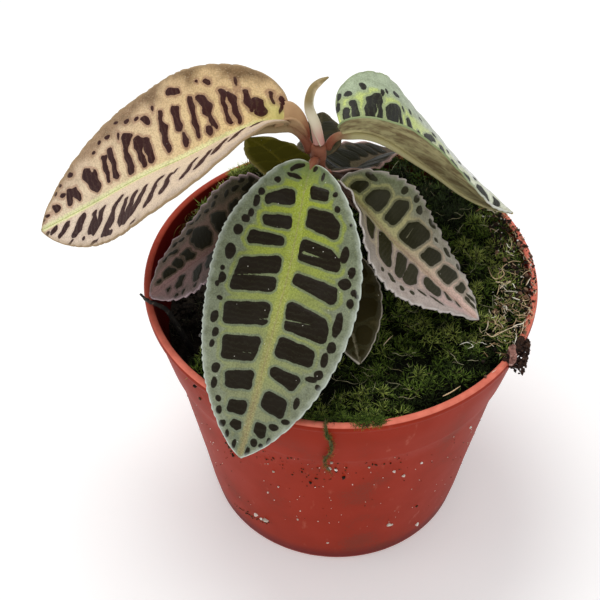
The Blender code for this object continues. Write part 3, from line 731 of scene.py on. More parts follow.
            ((0.344, 0.2), (0.279, 0.15), (0.26, 0.57), (0.312, 0.68), (0.335, 0.62)),
            ((0.506, 0.15), (0.402, 0.12), (0.4, 0.42), (0.435, 0.6), (0.519, 0.68), (0.535, 0.57)),
            ((0.636, 0.17), (0.556, 0.15), (0.574, 0.45), (0.641, 0.62), (0.656, 0.5)),
            ((0.764, 0.17), (0.688, 0.17), (0.695, 0.5), (0.766, 0.7), (0.781, 0.6)),
            ((0.853, 0.38), (0.812, 0.28), (0.822, 0.68), (0.853, 0.68))),
        rightPatches=(
            ((0.208, 0.23), (0.268, 0.17), (0.307, 0.55), (0.257, 0.6)),
            ((0.301, 0.1), (0.396, 0.1), (0.474, 0.6), (0.387, 0.6)),
            ((0.45, 0.12), (0.511, 0.12), (0.535, 0.35), (0.54, 0.6), (0.502, 0.55)),
            ((0.54, 0.12), (0.589, 0.12), (0.621, 0.42), (0.604, 0.53), (0.555, 0.6), (0.548, 0.35)),
            ((0.643, 0.1), (0.751, 0.12), (0.764, 0.38), (0.697, 0.38), (0.66, 0.28)),
            ((0.773, 0.08), (0.831, 0.17), (0.814, 0.23)),
            ((0.851, 0.08), (0.887, 0.15), (0.88, 0.2))),
        leftSpots=(
            (0.244, 0.8, 0.8, 1.0), (0.331, 0.85, 1.0, 0.9), (0.394, 0.77, 1.1, 1.1),
            (0.504, 0.87, 1.3, 0.8), (0.576, 0.72, 0.6, 0.4), (0.664, 0.8, 1.3, 0.7),
            (0.76, 0.88, 0.7, 0.6), (0.894, 0.45, 0.7, 0.5), (0.931, 0.5, 1.2, 0.4),
            (0.102, 0.74, 1.0, 0.7), (0.92, 0.75, 1.6, 0.4)),
        rightSpots=(
            (0.502, 0.72, 1.3, 0.6), (0.576, 0.75, 0.6, 0.6), (0.632, 0.7, 0.6, 0.5),
            (0.677, 0.55, 1.0, 0.3), (0.764, 0.55, 1.6, 0.3), (0.437, 0.75, 0.5, 0.5),
            (0.169, 0.53, 0.9, 0.5)),
        leftSplits=((0.44, 0.2, 0.435, 0.45, 0.14),),
        tones=dict(
            margin=((128, 136, 103), (214, 204, 191)), halo=((122, 124, 88), (176, 162, 147)),
            vein=((183, 183, 122), (233, 200, 187)), rib=((172, 164, 109), (218, 181, 170)),
            speck=(184, 176, 152), patch=((38, 37, 15), (57, 55, 40)), gloss=(68, 66, 50),
            edge=(206, 198, 192), under=(128, 104, 92), underShade=(98, 76, 68), line=(170, 140, 124),
            lineShare=0.4, wash=(186, 160, 168), washShare=0.4, washSide="right", lines=0.04, dust=0.5,
            reach=(0.8, 1.5))),
    leafLowLeft=dict(
        node="leaf_low_left", slot="leaf_mauve", mesh=(190, 60), thick=0.45, height=98.0, heading=210,
        stalk=6.0, blade=42.5, left=14.0, right=19.0, widest=0.41, fullness=1.13,
        pitch=(32, 11.5, -29.5, -29.5), yaw=(215.5, 203, 198.5, 209), roll=(-8.5, 11.5, 2.5),
        fold=(39.5, 16.5, 2), curl=(-15.5, -20), teeth=(16, 17), toothDepth=0.9, saw=1.0, ragged=1.3,
        rounding=0.25, grow=dict(left=0.14, right=0.16), stalkRadius=1.0, ribWidth=(1.0, 0.8), ripple=0.25,
        leftPatches=(
            ((0.1, 0.2), (0.16, 0.15), (0.19, 0.6), (0.13, 0.6)),
            ((0.21, 0.15), (0.28, 0.15), (0.32, 0.6), (0.25, 0.62)),
            ((0.33, 0.15), (0.42, 0.15), (0.46, 0.6), (0.38, 0.6)),
            ((0.48, 0.15), (0.55, 0.15), (0.58, 0.6), (0.52, 0.62)),
            ((0.671, 0.36), (0.603, 0.26), (0.607, 0.47), (0.65, 0.74), (0.69, 0.65)),
            ((0.828, 0.4), (0.779, 0.15), (0.74, 0.24), (0.788, 0.54), (0.828, 0.53)),
            ((0.858, 0.3), (0.89, 0.35), (0.897, 0.55))),
        rightPatches=(
            ((0.06, 0.2), (0.1, 0.18), (0.12, 0.6), (0.08, 0.6)),
            ((0.15, 0.15), (0.2, 0.15), (0.235, 0.6), (0.17, 0.62)),
            ((0.25, 0.15), (0.33, 0.15), (0.328, 0.52), (0.284, 0.57), (0.257, 0.49)),
            ((0.36, 0.15), (0.43, 0.15), (0.454, 0.32), (0.46, 0.6), (0.412, 0.56), (0.373, 0.46)),
            ((0.607, 0.63), (0.566, 0.61), (0.505, 0.44), (0.492, 0.22), (0.52, 0.12), (0.586, 0.14),
             (0.617, 0.31)),
            ((0.715, 0.39), (0.678, 0.38), (0.639, 0.16), (0.657, 0.1), (0.696, 0.15)),
            ((0.788, 0.38), (0.754, 0.38), (0.721, 0.15), (0.741, 0.1), (0.777, 0.17)),
            ((0.868, 0.39), (0.822, 0.38), (0.785, 0.13), (0.804, 0.1), (0.875, 0.22))),
        leftSpots=(
            (0.849, 0.8, 0.6, 0.5), (0.79, 0.75, 0.8, 0.4), (0.692, 0.8, 0.7, 0.5), (0.3, 0.8, 0.8, 0.6),
            (0.5, 0.8, 0.8, 0.6)),
        rightSpots=(
            (0.915, 0.3, 0.8, 0.6), (0.548, 0.81, 1.0, 0.7), (0.481, 0.76, 1.0, 0.8),
            (0.417, 0.74, 0.8, 0.7), (0.388, 0.83, 0.7, 0.6), (0.603, 0.86, 0.9, 0.5),
            (0.63, 0.7, 1.0, 0.9), (0.624, 0.45, 0.4, 1.2), (0.741, 0.78, 0.9, 0.7), (0.755, 0.6, 0.8, 0.9),
            (0.784, 0.68, 0.9, 0.6), (0.826, 0.72, 0.8, 0.6), (0.69, 0.72, 0.9, 0.8),
            (0.324, 0.75, 0.8, 0.9), (0.263, 0.75, 0.9, 0.8), (0.2, 0.72, 1.4, 1.0),
            (0.219, 0.88, 0.8, 0.7), (0.167, 0.86, 0.9, 0.8)),
        tones=dict(
            shine=0.04, margin=((61, 59, 41), (121, 106, 95)), halo=((54, 51, 34), (92, 79, 67)),
            vein=((88, 76, 57), (149, 119, 113)), rib=((101, 79, 68), (148, 115, 113)),
            speck=(150, 130, 122), patch=((22, 20, 9), (34, 32, 19)), gloss=(40, 38, 25),
            edge=(176, 154, 158), under=(108, 80, 82), underShade=(80, 58, 60), line=(120, 92, 88),
            lineShare=0.3, wash=(115, 95, 101), washShare=0.35, washSide="left", lines=0.04, dust=0.2,
            reach=(0.9, 2.6))),
    leafLowFront=dict(
        node="leaf_low_front", slot="leaf_dark", mesh=(150, 48), thick=0.45, height=93.0, heading=-74,
        stalk=5.5, blade=32.5, left=10.0, right=8.0, widest=0.41, fullness=1.31, pitch=(15, -8, -16.5, -23),
        yaw=(-75, -68.5, -76, -71.5), roll=(0.5, 0.5, -4), fold=(20, 16.5, 13), curl=(-17.5, -15.5),
        teeth=(9, 9), toothDepth=0.4, ragged=0.8, grow=dict(left=0.1, right=0.1), stalkRadius=0.9,
        ribWidth=(0.45, 0.35), ripple=0.15,
        leftPatches=(
            ((0.1, 0.1), (0.28, 0.08), (0.33, 0.82), (0.15, 0.8)),
            ((0.32, 0.1), (0.45, 0.08), (0.47, 0.5), (0.4, 0.55)),
            ((0.38, 0.62), (0.45, 0.6), (0.45, 0.82), (0.4, 0.82)),
            ((0.486, 0.5), (0.501, 0.76), (0.55, 0.84), (0.624, 0.82), (0.646, 0.74), (0.676, 0.26),
             (0.62, 0.14), (0.52, 0.14)),
            ((0.7, 0.22), (0.713, 0.52), (0.757, 0.76), (0.84, 0.76), (0.869, 0.56), (0.839, 0.18),
             (0.755, 0.14)),
            ((0.9, 0.2), (0.94, 0.25), (0.93, 0.5), (0.9, 0.5))),
        rightPatches=(
            ((0.1, 0.1), (0.28, 0.08), (0.33, 0.82), (0.15, 0.8)),
            ((0.33, 0.1), (0.5, 0.08), (0.54, 0.8), (0.38, 0.8)),
            ((0.54, 0.1), (0.7, 0.08), (0.74, 0.8), (0.6, 0.84)),
            ((0.74, 0.1), (0.86, 0.12), (0.88, 0.7), (0.78, 0.8))),
        leftSpots=((0.93, 0.2, 0.5, 0.3),),
        rightSpots=((0.92, 0.4, 0.6, 0.4),),
        tones=dict(
            margin=((75, 69, 42), (85, 78, 50)), halo=((63, 58, 35), (66, 63, 40)),
            vein=((57, 52, 26), (64, 57, 31)), rib=((70, 66, 38), (142, 134, 110)), speck=(88, 82, 50),
            shine=0.04, band=0.05, patch=((44, 38, 15), (51, 45, 22)), gloss=(54, 46, 22),
            edge=(214, 206, 190), under=(90, 70, 50), underShade=(66, 50, 36), line=(150, 144, 116),
            lineShare=0.2, lines=0.04, dust=0.9, reach=(0.7, 1.4))),
    leafBackRight=dict(
        node="leaf_back_right", slot="leaf_dark", mesh=(150, 44), thick=0.45, height=110.0, heading=55,
        stalk=2.5, blade=44.5, left=12.0, right=11.0, widest=0.48, fullness=1.19,
        pitch=(28.5, -6.5, -15, -34.5), yaw=(56.5, 63, 56.5, 56), roll=(10, -14.5, -7.5),
        fold=(21.5, 25.5, 18), curl=(-17.5, -10), teeth=(12, 12), toothDepth=0.6, ragged=1.0,
        grow=dict(left=0.45, right=0.45), stalkRadius=1.0, ribWidth=(0.35, 0.3), ripple=0.3,
        leftPatches=(
            ((0.08, 0.15), (0.16, 0.12), (0.2, 0.7), (0.12, 0.72)),
            ((0.19, 0.12), (0.3, 0.1), (0.34, 0.78), (0.24, 0.8)),
            ((0.441, 0.8), (0.48, 0.71), (0.475, 0.31), (0.418, 0.14), (0.375, 0.17), (0.375, 0.45),
             (0.395, 0.73)),
            ((0.532, 0.73), (0.569, 0.69), (0.587, 0.32), (0.55, 0.18), (0.499, 0.29), (0.5, 0.49)),
            ((0.647, 0.78), (0.659, 0.61), (0.676, 0.36), (0.637, 0.18), (0.603, 0.28), (0.61, 0.57)),
            ((0.7, 0.16), (0.74, 0.16), (0.76, 0.72), (0.72, 0.76), (0.69, 0.4)),
            ((0.78, 0.14), (0.83, 0.14), (0.85, 0.66), (0.8, 0.7))),
        rightPatches=(
            ((0.08, 0.15), (0.16, 0.12), (0.2, 0.7), (0.12, 0.72)),
            ((0.2, 0.12), (0.3, 0.1), (0.34, 0.72), (0.24, 0.75)),
            ((0.34, 0.12), (0.43, 0.1), (0.47, 0.72), (0.39, 0.75)),
            ((0.48, 0.12), (0.57, 0.1), (0.6, 0.72), (0.52, 0.75)),
            ((0.62, 0.12), (0.7, 0.1), (0.73, 0.7), (0.66, 0.72)),
            ((0.75, 0.12), (0.83, 0.12), (0.85, 0.65), (0.79, 0.68))),
        leftSpots=((0.62, 0.93, 0.7, 0.4), (0.5, 0.94, 0.7, 0.4)),
        tones=dict(
            margin=((46, 44, 30), (84, 70, 62)), halo=((36, 36, 22), (46, 41, 30)),
            vein=((88, 82, 60), (88, 76, 62)), rib=((92, 82, 62), (106, 88, 74)), speck=(100, 92, 76),
            shine=0.03, patch=((28, 28, 14), (24, 23, 11)), gloss=(42, 42, 30), edge=(214, 180, 172),
            under=(120, 96, 84), underShade=(88, 68, 60), line=(110, 90, 76), lineShare=0.3, lines=0.05,
            dust=0.2, reach=(0.7, 1.6))),
    leafBackLeft=dict(
        node="leaf_back_left", slot="leaf_dark", mesh=(120, 36), thick=0.45, height=99.0, heading=128,
        stalk=5.5, blade=40.5, left=8.0, right=9.0, widest=0.44, fullness=1.23,
        pitch=(31, 3.5, -15.5, -17.5), yaw=(126, 115, 116.5, 128), roll=(0.5, 5, -2), fold=(20.5, 12, 9.5),
        curl=(-19.5, -22.5), teeth=(10, 10), toothDepth=0.3, ragged=1.0, grow=dict(left=0.1, right=0.1),
        stalkRadius=0.9, ribWidth=(0.5, 0.4), ripple=0.2, leftPatches=plainPatches,
        rightPatches=plainPatches,
        tones=dict(
            shine=0.0, margin=((71, 66, 21), (77, 71, 24)), halo=((51, 49, 13), (54, 51, 14)),
            vein=((56, 51, 9), (58, 54, 11)), rib=((62, 57, 14), (66, 60, 18)), speck=(78, 72, 24),
            patch=((45, 42, 9), (49, 46, 11)), gloss=(52, 48, 12), edge=(100, 92, 50), under=(86, 74, 40),
            underShade=(62, 52, 26), line=(74, 70, 26), lineShare=0.2, lines=0.05, dust=0.1,
            reach=(0.7, 1.6))),
    leafBack=dict(
        node="leaf_back", slot="leaf_dark", mesh=(70, 26), thick=0.45, height=113.0, heading=88, stalk=3.0,
        blade=18.0, left=6.0, right=6.0, widest=0.38, fullness=1.05, pitch=(35, 13.5, 0, -3),
        yaw=(92.5, 92, 89, 90), roll=(5, -15, 0), fold=(24, 4, 1), curl=(-30, -26), teeth=(7, 7),
        toothDepth=0.2, ragged=1.0, grow=dict(left=0.1, right=0.1), stalkRadius=0.8, ribWidth=(0.4, 0.3),
        ripple=0.15, leftPatches=shortPatches, rightPatches=shortPatches,
        tones=dict(
            margin=((54, 51, 28), (62, 56, 34)), halo=((44, 42, 20), (48, 44, 24)),
            vein=((50, 47, 24), (52, 48, 26)), rib=((62, 56, 32), (74, 66, 44)), speck=(80, 74, 52),
            patch=((31, 31, 10), (34, 31, 14)), gloss=(50, 49, 30), edge=(96, 84, 62), under=(80, 70, 50),
            underShade=(58, 48, 34), line=(80, 72, 48), lineShare=0.3, lines=0.15, dust=0.1,
            reach=(0.7, 1.6))))
leafDetail = dict(
    tipWidth=0.12, patchRise=0.14, ribDip=0.3, rounding=0.95, wander=0.13, foot=2.3,
    topLift=0.25, reliefGrain=0.03, dustTone=(226, 222, 208),
    marginShade=(0.5, 0.5, 0.46), grainShade=(0.3, 0.3, 0.25), cloudShade=(0.35, 0.35, 0.3),
    notchShade=(0.4, 0.4, 0.36), rimShade=(0.5, 0.5, 0.45), creaseShade=(0.3, 0.24, 0.2))


def leafFrame(leaf, shares):
    # The blade's middle line and its directions across and up, at shares of the way from its foot to its tip.
    stalk, blade = leaf["stalk"], leaf["blade"]
    fine = np.linspace(0, stalk + blade, 241)
    bends = (0, stalk, stalk + blade / 2, stalk + blade)
    pitch = np.radians(through(bends, leaf["pitch"], fine))
    yaw = np.radians(through(bends, leaf["yaw"], fine))
    along = np.stack([np.cos(pitch) * np.cos(yaw), np.cos(pitch) * np.sin(yaw), np.sin(pitch)], -1)
    walked = np.zeros_like(along)
    walked[1:] = np.cumsum((along[1:] + along[:-1]) / 2 * (fine[1] - fine[0]), axis=0)
    x, y, _ = stemSpot(leaf["height"])
    heading = math.radians(leaf["heading"])
    foot = np.array([x + leafDetail["foot"] * math.cos(heading), y + leafDetail["foot"] * math.sin(heading),
                     leaf["height"]])
    places = stalk + shares * blade
    points = foot + np.stack([np.interp(places, fine, walked[:, k]) for k in range(3)], -1)
    along = np.stack([np.interp(places, fine, along[:, k]) for k in range(3)], -1)
    turn = np.interp(places, fine, yaw)
    across = np.stack([-np.sin(turn), np.cos(turn), np.zeros(len(places))], 1)
    up = np.cross(along, across)
    bends = (stalk, stalk + blade / 2, stalk + blade)
    inside = np.clip(places, stalk, stalk + blade)
    roll = np.radians(through(bends, leaf["roll"], inside))[:, None]
    fold = np.radians(through(bends, leaf["fold"], inside))
    across, up = across * np.cos(roll) + up * np.sin(roll), up * np.cos(roll) - across * np.sin(roll)
    return points, across, up, fold


def bladeWidth(leaf, shares):
    part = np.clip(shares, 1e-6, 1 - 1e-6)
    widest, fullness = leaf["widest"], leaf["fullness"]
    return (part / widest) ** (fullness * widest) * ((1 - part) / (1 - widest)) ** (fullness * (1 - widest))


def bladePlace(leaf, side, t, v):
    # Where a mark lies, in millimetres along and across the blade.
    return t * leaf["blade"], v * leaf[side] * float(bladeWidth(leaf, np.array(t)))


def lineDistance(x, y, start, end):
    # How far points lie from a straight line's piece, and the share along it that is nearest.
    (ax, ay), (bx, by) = start, end
    ex, ey = bx - ax, by - ay
    part = np.clip(((x - ax) * ex + (y - ay) * ey) / (ex * ex + ey * ey), 0, 1)
    return np.hypot(x - ax - part * ex, y - ay - part * ey), part


def outlineDistance(x, y, corners):
    # How far points lie inside a closed outline; negative outside.
    nearest = np.full(x.shape, 1e9)
    inside = np.zeros(x.shape, bool)
    for (ax, ay), (bx, by) in zip(corners, corners[1:] + corners[:1]):
        nearest = np.minimum(nearest, lineDistance(x, y, (ax, ay), (bx, by))[0])
        crosses = (ay > y) != (by > y)
        inside ^= crosses & (x < ax + (bx - ax) * (y - ay) / (by - ay if by != ay else 1e-9))
    return np.where(inside, nearest, -nearest)


def insetOutline(corners, rounding):
    # Moves each side of an outline inwards, so that growing it back rounds the corners; also returns how far.
    ends = corners[1:] + corners[:1]
    area = sum(ax * by - bx * ay for (ax, ay), (bx, by) in zip(corners, ends)) / 2
    length = sum(math.hypot(bx - ax, by - ay) for (ax, ay), (bx, by) in zip(corners, ends))
    inset = min(rounding, 0.84 * abs(area) / length)
    turn = math.copysign(1.0, area)
    moved = []
    for (px, py), (cx, cy), (nx, ny) in zip(corners[-1:] + corners[:-1], corners, ends):
        before, after = Vector((cx - px, cy - py)).normalized(), Vector((nx - cx, ny - cy)).normalized()
        inward = Vector((-before.y - after.y, before.x + after.x)) * turn
        moved.append(tuple(Vector((cx, cy)) + inward * (2 * inset / max(inward.length_squared, 0.5))))
    return moved, inset


def markField(leaf, side, x, y):
    # Millimetres inside the dark markings of one half of a blade, negative outside, and the same for its
    # large patches alone; x runs along the blade and y across it.
    wander = leafDetail["wander"] * leaf["ragged"]
    bentX = x + wander * (np.sin(0.9 * x + 1.4 * y) + 0.6 * np.sin(2.1 * y - 1.1 * x + 1.0))
    bentY = y + wander * (np.sin(1.2 * x - 0.8 * y + 2.0) + 0.6 * np.sin(2.3 * x + 0.9 * y))
    lane = np.full(x.shape, -9.0)
    for outline in leaf[side + "Patches"]:
        corners = [bladePlace(leaf, side, t, v) for t, v in outline]
        corners, inset = insetOutline(corners, leaf.get("rounding", leafDetail["rounding"]))
        lane = np.maximum(lane, outlineDistance(bentX, bentY, corners) + inset + leaf["grow"][side])
    field = lane
    for t, v, length, width in leaf.get(side + "Spots", ()):
        cx, cy = bladePlace(leaf, side, t, v)
        away = np.hypot((bentX - cx) / length, (bentY - cy) / width)
        field = np.maximum(field, (1 - away) * min(length, width) + leaf["grow"][side] / 2)
    for t0, v0, t1, v1, width in leaf.get(side + "Splits", ()):
        away, part = lineDistance(x, y, bladePlace(leaf, side, t0, v0), bladePlace(leaf, side, t1, v1))
        field = np.minimum(field, away - width * (1.2 - part))
    return field, lane


def rimTone(skin, along, tones):
    return skin.blend(skin.between(along, 0.3, 0.65),
                      *palette((tones.get("rimStart", tones["edge"]), tones["edge"])))


def leafFinish(name, tones):
    skin = Finish(name)
    keys = ("patch", "lane", "zone", "rib", "centre", "edge", "along", "half", "notch")
    patch, lane, zone, rib, centre, edge, along, half, notch = (skin.number(key) for key in keys)
    ragged, fine = skin.noise(0.9, 3), skin.noise(0.3, 2)
    cloud, broad = skin.noise(2.2, 3), skin.noise(6.0, 3)
    grains = skin.cells(0.42)
    # Each tone runs from its first value near the foot to its second towards the tip; on the right leaf this
    # carries a painted reflection.
    far = skin.between(along + (broad - 0.5) * 0.3, 0.12, 0.95)
    margin, halo, vein, middle, dark = (
        skin.blend(far, *palette(tones[key])) for key in ("margin", "halo", "vein", "rib", "patch"))
    margin = skin.shade(skin.between(cloud, 0.4, 0.68) * 0.45, margin, leafDetail["marginShade"])
    # Veins arch round the outer ends of the large patches, and are brightest along their middles.
    offZone = 1 - skin.between(zone + (cloud - 0.5) * 0.2, 0.66, 0.46)
    offLane = 1 - skin.between(lane + (cloud - 0.5) * 1.4, -tones["reach"][1], -tones["reach"][0])
    inside = 1 - offZone * offLane
    bright = 1 - skin.between(zone, 0.3, 0.85) * 0.45
    core = skin.between(patch + (ragged - 0.5) * 0.35, -0.32, -0.8) * bright
    colour = skin.blend(inside, margin, skin.blend(core, halo, vein))
    middle = skin.blend(skin.between(fine, 0.42, 0.66) * 0.35, middle, paint(*tones["speck"]))
    colour = skin.blend(skin.between(rib + (ragged - 0.5) * 1.1, 0.35, -0.45), colour, middle)
    colour = skin.blend(skin.between(centre + (ragged - 0.5) * 0.3, 0.34, 0.1) * tones["lineShare"], colour,
                        paint(*tones["line"]))
    # A pale wash over one half of the blade, away from the middle vein; on the left leaf it is painted sheen.
    if "wash" in tones:
        onSide = half if tones["washSide"] == "left" else 1 - half
        washed = onSide * skin.between(rib, 0.0, 0.8) * tones["washShare"]
        colour = skin.blend(washed, colour, paint(*tones["wash"]))
    colour = skin.blend(skin.between(fine, 0.56, 0.78) * 0.35, colour, paint(*tones["speck"]))
    colour = skin.shade(skin.between(grains, 0.35, 0.8) * 0.3, colour, leafDetail["grainShade"])
    colour = skin.shade(skin.between(broad, 0.45, 0.75) * 0.25, colour, leafDetail["cloudShade"])
    if "foot" in tones:
        reach = tones.get("footZone", 1.0)
        near = skin.between(along + (broad - 0.5) * 0.08, 0.13,
                            0.02) * 0.75 * skin.between(zone, reach + 0.3, reach)
        colour = skin.blend(near, colour, paint(*tones["foot"]))
    cover = skin.between(patch + (ragged - 0.5) * 0.26 + (fine - 0.5) * 0.14, -0.1, 0.08)
    lines = skin.wave(along * 330 + ragged * 9 + broad * 14)
    sheen = skin.between(lines, 0.3, 1.0) * tones["lines"] + skin.between(fine, 0.64, 0.8) * 0.1
    dark = skin.blend(sheen, dark, colour)
    # Broad clouds of the gloss tone on the dark patches are painted reflection.
    dark = skin.blend(skin.between(broad, 0.4, 0.7) * 0.4, dark, paint(*tones["gloss"]))
    colour = skin.blend(cover, colour, dark)
    # The margin pales towards the edge and ends in a thin pale line: partly the margin's own colour and
    # partly painted highlight where the edge catches the light.
    pale = skin.between(edge + (cloud - 0.5) * 1.6, 1.7, 0.2) * tones.get("band", 0.4)
    pale = pale + skin.between(edge + (ragged - 0.5) * 0.3, 0.5, 0.15) * 0.68
    colour = skin.blend(pale, colour, rimTone(skin, along, tones))
    # Painted shade in the notches between the teeth, near the edge.
    colour = skin.shade(notch * skin.between(edge, 1.4, 0.2) * 0.45, colour, leafDetail["notchShade"])
    # Specks of dust and soil lie on the blade.
    colour = skin.blend(skin.between(skin.cells(2.6), 0.062, 0.035) * tones["dust"], colour,
                        paint(*leafDetail["dustTone"]))
    grain = skin.bump(fine * 0.5 + ragged * 0.6 - grains * (1 - cover) * 0.5, 0.14, 0.6)
    return skin.set(Base_Color=colour, Roughness=0.54 - cover * 0.12 + (broad - 0.5) * 0.15, Normal=grain,
                    Specular_IOR_Level=tones.get("shine", 0.1))


def undersideFinish(name, tones):
    skin = Finish(name)
    rib, patch, along = skin.number("rib"), skin.number("patch"), skin.number("along")
    fine, broad, cloud = skin.noise(0.35, 3), skin.noise(5.0, 3), skin.noise(1.6, 3)
    tone, shade = paint(*tones["under"]), paint(*tones["underShade"])
    colour = skin.blend(skin.between(broad + (cloud - 0.5) * 0.5, 0.36, 0.66), tone, shade)
    colour = skin.blend(skin.between(patch, -0.2, 0.3) * 0.3, colour, shade)
    colour = skin.blend(skin.between(rib, 0.2, -0.2) * 0.5, colour, scaled(tone, 1.4))
    # Side veins run aslant across the underside, with a line of painted shade beside each for its crease.
    veins = skin.wave(along * 95 - skin.number("zone") * 9 + broad * 9)
    colour = skin.blend(skin.between(veins, 0.7, 1.0) * 0.25, colour, tone)
    colour = skin.shade(skin.between(veins, -0.5, -1.0) * skin.between(cloud, 0.35, 0.6)
                        * tones.get("crease", 0.2), colour, leafDetail["creaseShade"])
    return skin.set(Base_Color=colour, Roughness=0.6, Specular_IOR_Level=0.15,
                    Normal=skin.bump(fine * 0.6 + veins * 0.25 + broad, 0.25, 0.5))


def rimFinish(name, tones):
    skin = Finish(name)
    grain, along = skin.noise(0.6, 2), skin.number("along")
    # The cut edge takes the margin's edge tone, partly its own colour and partly painted highlight.
    colour = rimTone(skin, along, tones)
    colour = skin.shade(grain * 0.4, colour, leafDetail["rimShade"])
    return skin.set(Base_Color=colour, Roughness=0.5, Specular_IOR_Level=0.1)


def addWing(name, leaf):
    # The blade runs down its stalk as a narrow folded wing.
    columns, rows = 48, 16
    piece, along, across = addSheet(name, columns, rows)
    station = np.rint(along * columns).astype(int)
    start, end, width = leaf["wing"]
    stations = np.linspace(start, end, columns + 1)
    middle, sideways, up, fold = leafFrame(leaf, stations)
    half = (width * ramp(stations, start, end * 0.4))[station] * np.abs(across)
    sink = 0.3 - 1.3 * ramp(stations, 0.0, end)[station]
    side = np.where(across >= 0, 1.0, -1.0)
    points = middle[station] + (side * half * np.cos(fold[station]))[:, None] * sideways[station]
    points += (half * np.sin(fold[station]) + sink)[:, None] * up[station]
    placePoints(piece, points)
    writeNumbers(piece, "along", ramp(stations, start, 0.0)[station] * 0.12)
    applyModifier(piece, "SOLIDIFY", thickness=leaf["thick"] * mm, offset=0)
    return piece


def makeLeaf(name, leaf):
    columns, rows = leaf["mesh"]
    piece, along, across = addSheet(name, columns, rows)
    stations = 0.004 + 0.996 * np.linspace(0, 1, columns + 1)
    station = np.rint(along * columns).astype(int)
    middle, sideways, up, fold = leafFrame(leaf, stations)
    share = bladeWidth(leaf, stations)
    zone = np.abs(across)
    side = np.where(across >= 0, 1.0, -1.0)
    # The teeth are lobes that lean towards the tip, rounded or drawn out to a point.
    cycle = stations[station] * np.where(across >= 0, *leaf["teeth"])
    turn = (cycle + 0.2 * np.sin(1.7 * cycle)) % 1.0
    point = np.where(turn < 0.8, (turn / 0.8) ** 0.9, (1 - turn) / 0.2)
    saw = leaf.get("saw", 0.0)
    lobe = (1 - saw) * np.sin(np.pi * turn**1.5) ** 0.5 + saw * point
    notch = leaf["toothDepth"] * (1 - lobe) * np.minimum(1.0, 4 * share[station] ** 2)
    full = np.where(across >= 0, leaf["left"], leaf["right"]) * share[station]
    half = np.maximum(full - notch * zone**3, leafDetail["tipWidth"])
    curl = np.radians(np.where(across >= 0, *leaf["curl"]))
    bend = fold[station] + curl * zone
    out = (np.sin(bend) - np.sin(fold[station])) / curl
    rise = (np.cos(fold[station]) - np.cos(bend)) / curl
    x = stations[station] * leaf["blade"]
    y = zone * half
    halves = zip(markField(leaf, "left", x, y), markField(leaf, "right", x, y))
    field, lane = (np.where(across >= 0, left, right) for left, right in halves)
    ribHalf = np.interp(stations, (0, 1), leaf["ribWidth"])[station]
    rib = y - ribHalf
    edge = (1 - zone) * half
    # Relief: the dark patches stand up a little, the middle vein is a soft channel, and the margin ripples.
    lift = leafDetail["topLift"] + leafDetail["patchRise"] * ramp(field, -0.3, 0.5)
    lift -= leafDetail["ribDip"] * np.exp(-(y / (0.6 * ribHalf)) ** 2) * (1 - 0.6 * stations[station])
    lift += leaf["ripple"] * zone**4 * np.sin(np.pi * cycle + side)
    lift += leafDetail["reliefGrain"] * np.sin(5.1 * x + 3 * np.sin(2.2 * y)) * np.sin(4.7 * y)
    upright = up[station] * np.cos(bend)[:, None] - (side * np.sin(bend))[:, None] * sideways[station]
    points = middle[station] + ((side * out * half)[:, None] * sideways[station] + (rise * half)[:, None]
                                * up[station])
    placePoints(piece, points + upright * lift[:, None])
    for key, values in (
            ("patch", field), ("lane", lane), ("zone", zone), ("rib", rib), ("centre", y), ("edge", edge),
            ("along", stations[station]), ("half", ramp(across, -0.04, 0.04)), ("notch", 1 - lobe)):
        writeNumbers(piece, key, values)
    tones = leaf["tones"]
    piece.data.materials.append(leafFinish(name + "Top", tones))
    piece.data.materials.append(undersideFinish(name + "Under", tones))
    piece.data.materials.append(rimFinish(name + "Margin", tones))
    applyModifier(piece, "SOLIDIFY", thickness=leaf["thick"] * mm, offset=-1, material_offset=1,
                  material_offset_rim=2)
    # The stalk runs on under the blade as its middle vein.
    shares = np.linspace(-leaf["stalk"] / leaf["blade"], 0.97, 40)
    middle, _, up, _ = leafFrame(leaf, shares)
    radius = leaf["stalkRadius"] * np.where(shares < 0, 1.0, np.maximum(1 - shares, 0.0) ** 0.8 * 0.9 + 0.1)
    sink = ramp(shares, -0.03, 0.045) * (radius + 0.25)
    stalk = addTube(name + "Stalk", middle - up * sink[:, None], radius, 16, 72)
    stalk.data.materials.append(stalkFinish(name + "StalkSkin", tones["under"]))
    parts = [piece, stalk]
    if "wing" in leaf:
        parts.append(addWing(name + "Wing", leaf))
        parts[-1].data.materials.append(stalkFinish(name + "WingSkin", leaf["wingTone"]))
    joinPieces(parts)
    finishPiece(piece, leaf["slot"], leaf["node"])


def stalkFinish(name, under):
    skin = Finish(name)
    broad, fine = skin.noise(3.0, 3), skin.noise(0.4, 2)
    along = skin.number("along")
    tones = palette(stem["tones"])
    colour = skin.blend(broad, tones[1], tones[2])
    colour = skin.blend(skin.between(along + (broad - 0.5) * 0.06, 0.04, 0.13), colour, paint(*under))
    return skin.set(Base_Color=colour, Roughness=0.5, Specular_IOR_Level=0.12,
                    Normal=skin.bump(fine + broad, 0.12, 0.4))


for leafName, leafSettings in leaves.items():
    makeLeaf(leafName, leafSettings)
    print("leaf", leafName)


# Stem and young leaf

youngLeaf = dict(
    path=((0.0, 0.0, 0.5), (-0.9, 0.1, 6.0), (-2.3, 0.3, 11.5), (-1.6, 1.0, 15.6), (0.2, 2.0, 17.4),
          (2.2, 3.0, 18.2)),
    radii=(1.75, 1.7, 1.3, 1.1, 0.85, 0.12), turns=1.4, thick=0.22, rings=90,
    tones=((206, 150, 138), (226, 214, 186), (142, 122, 76), (214, 190, 150)))


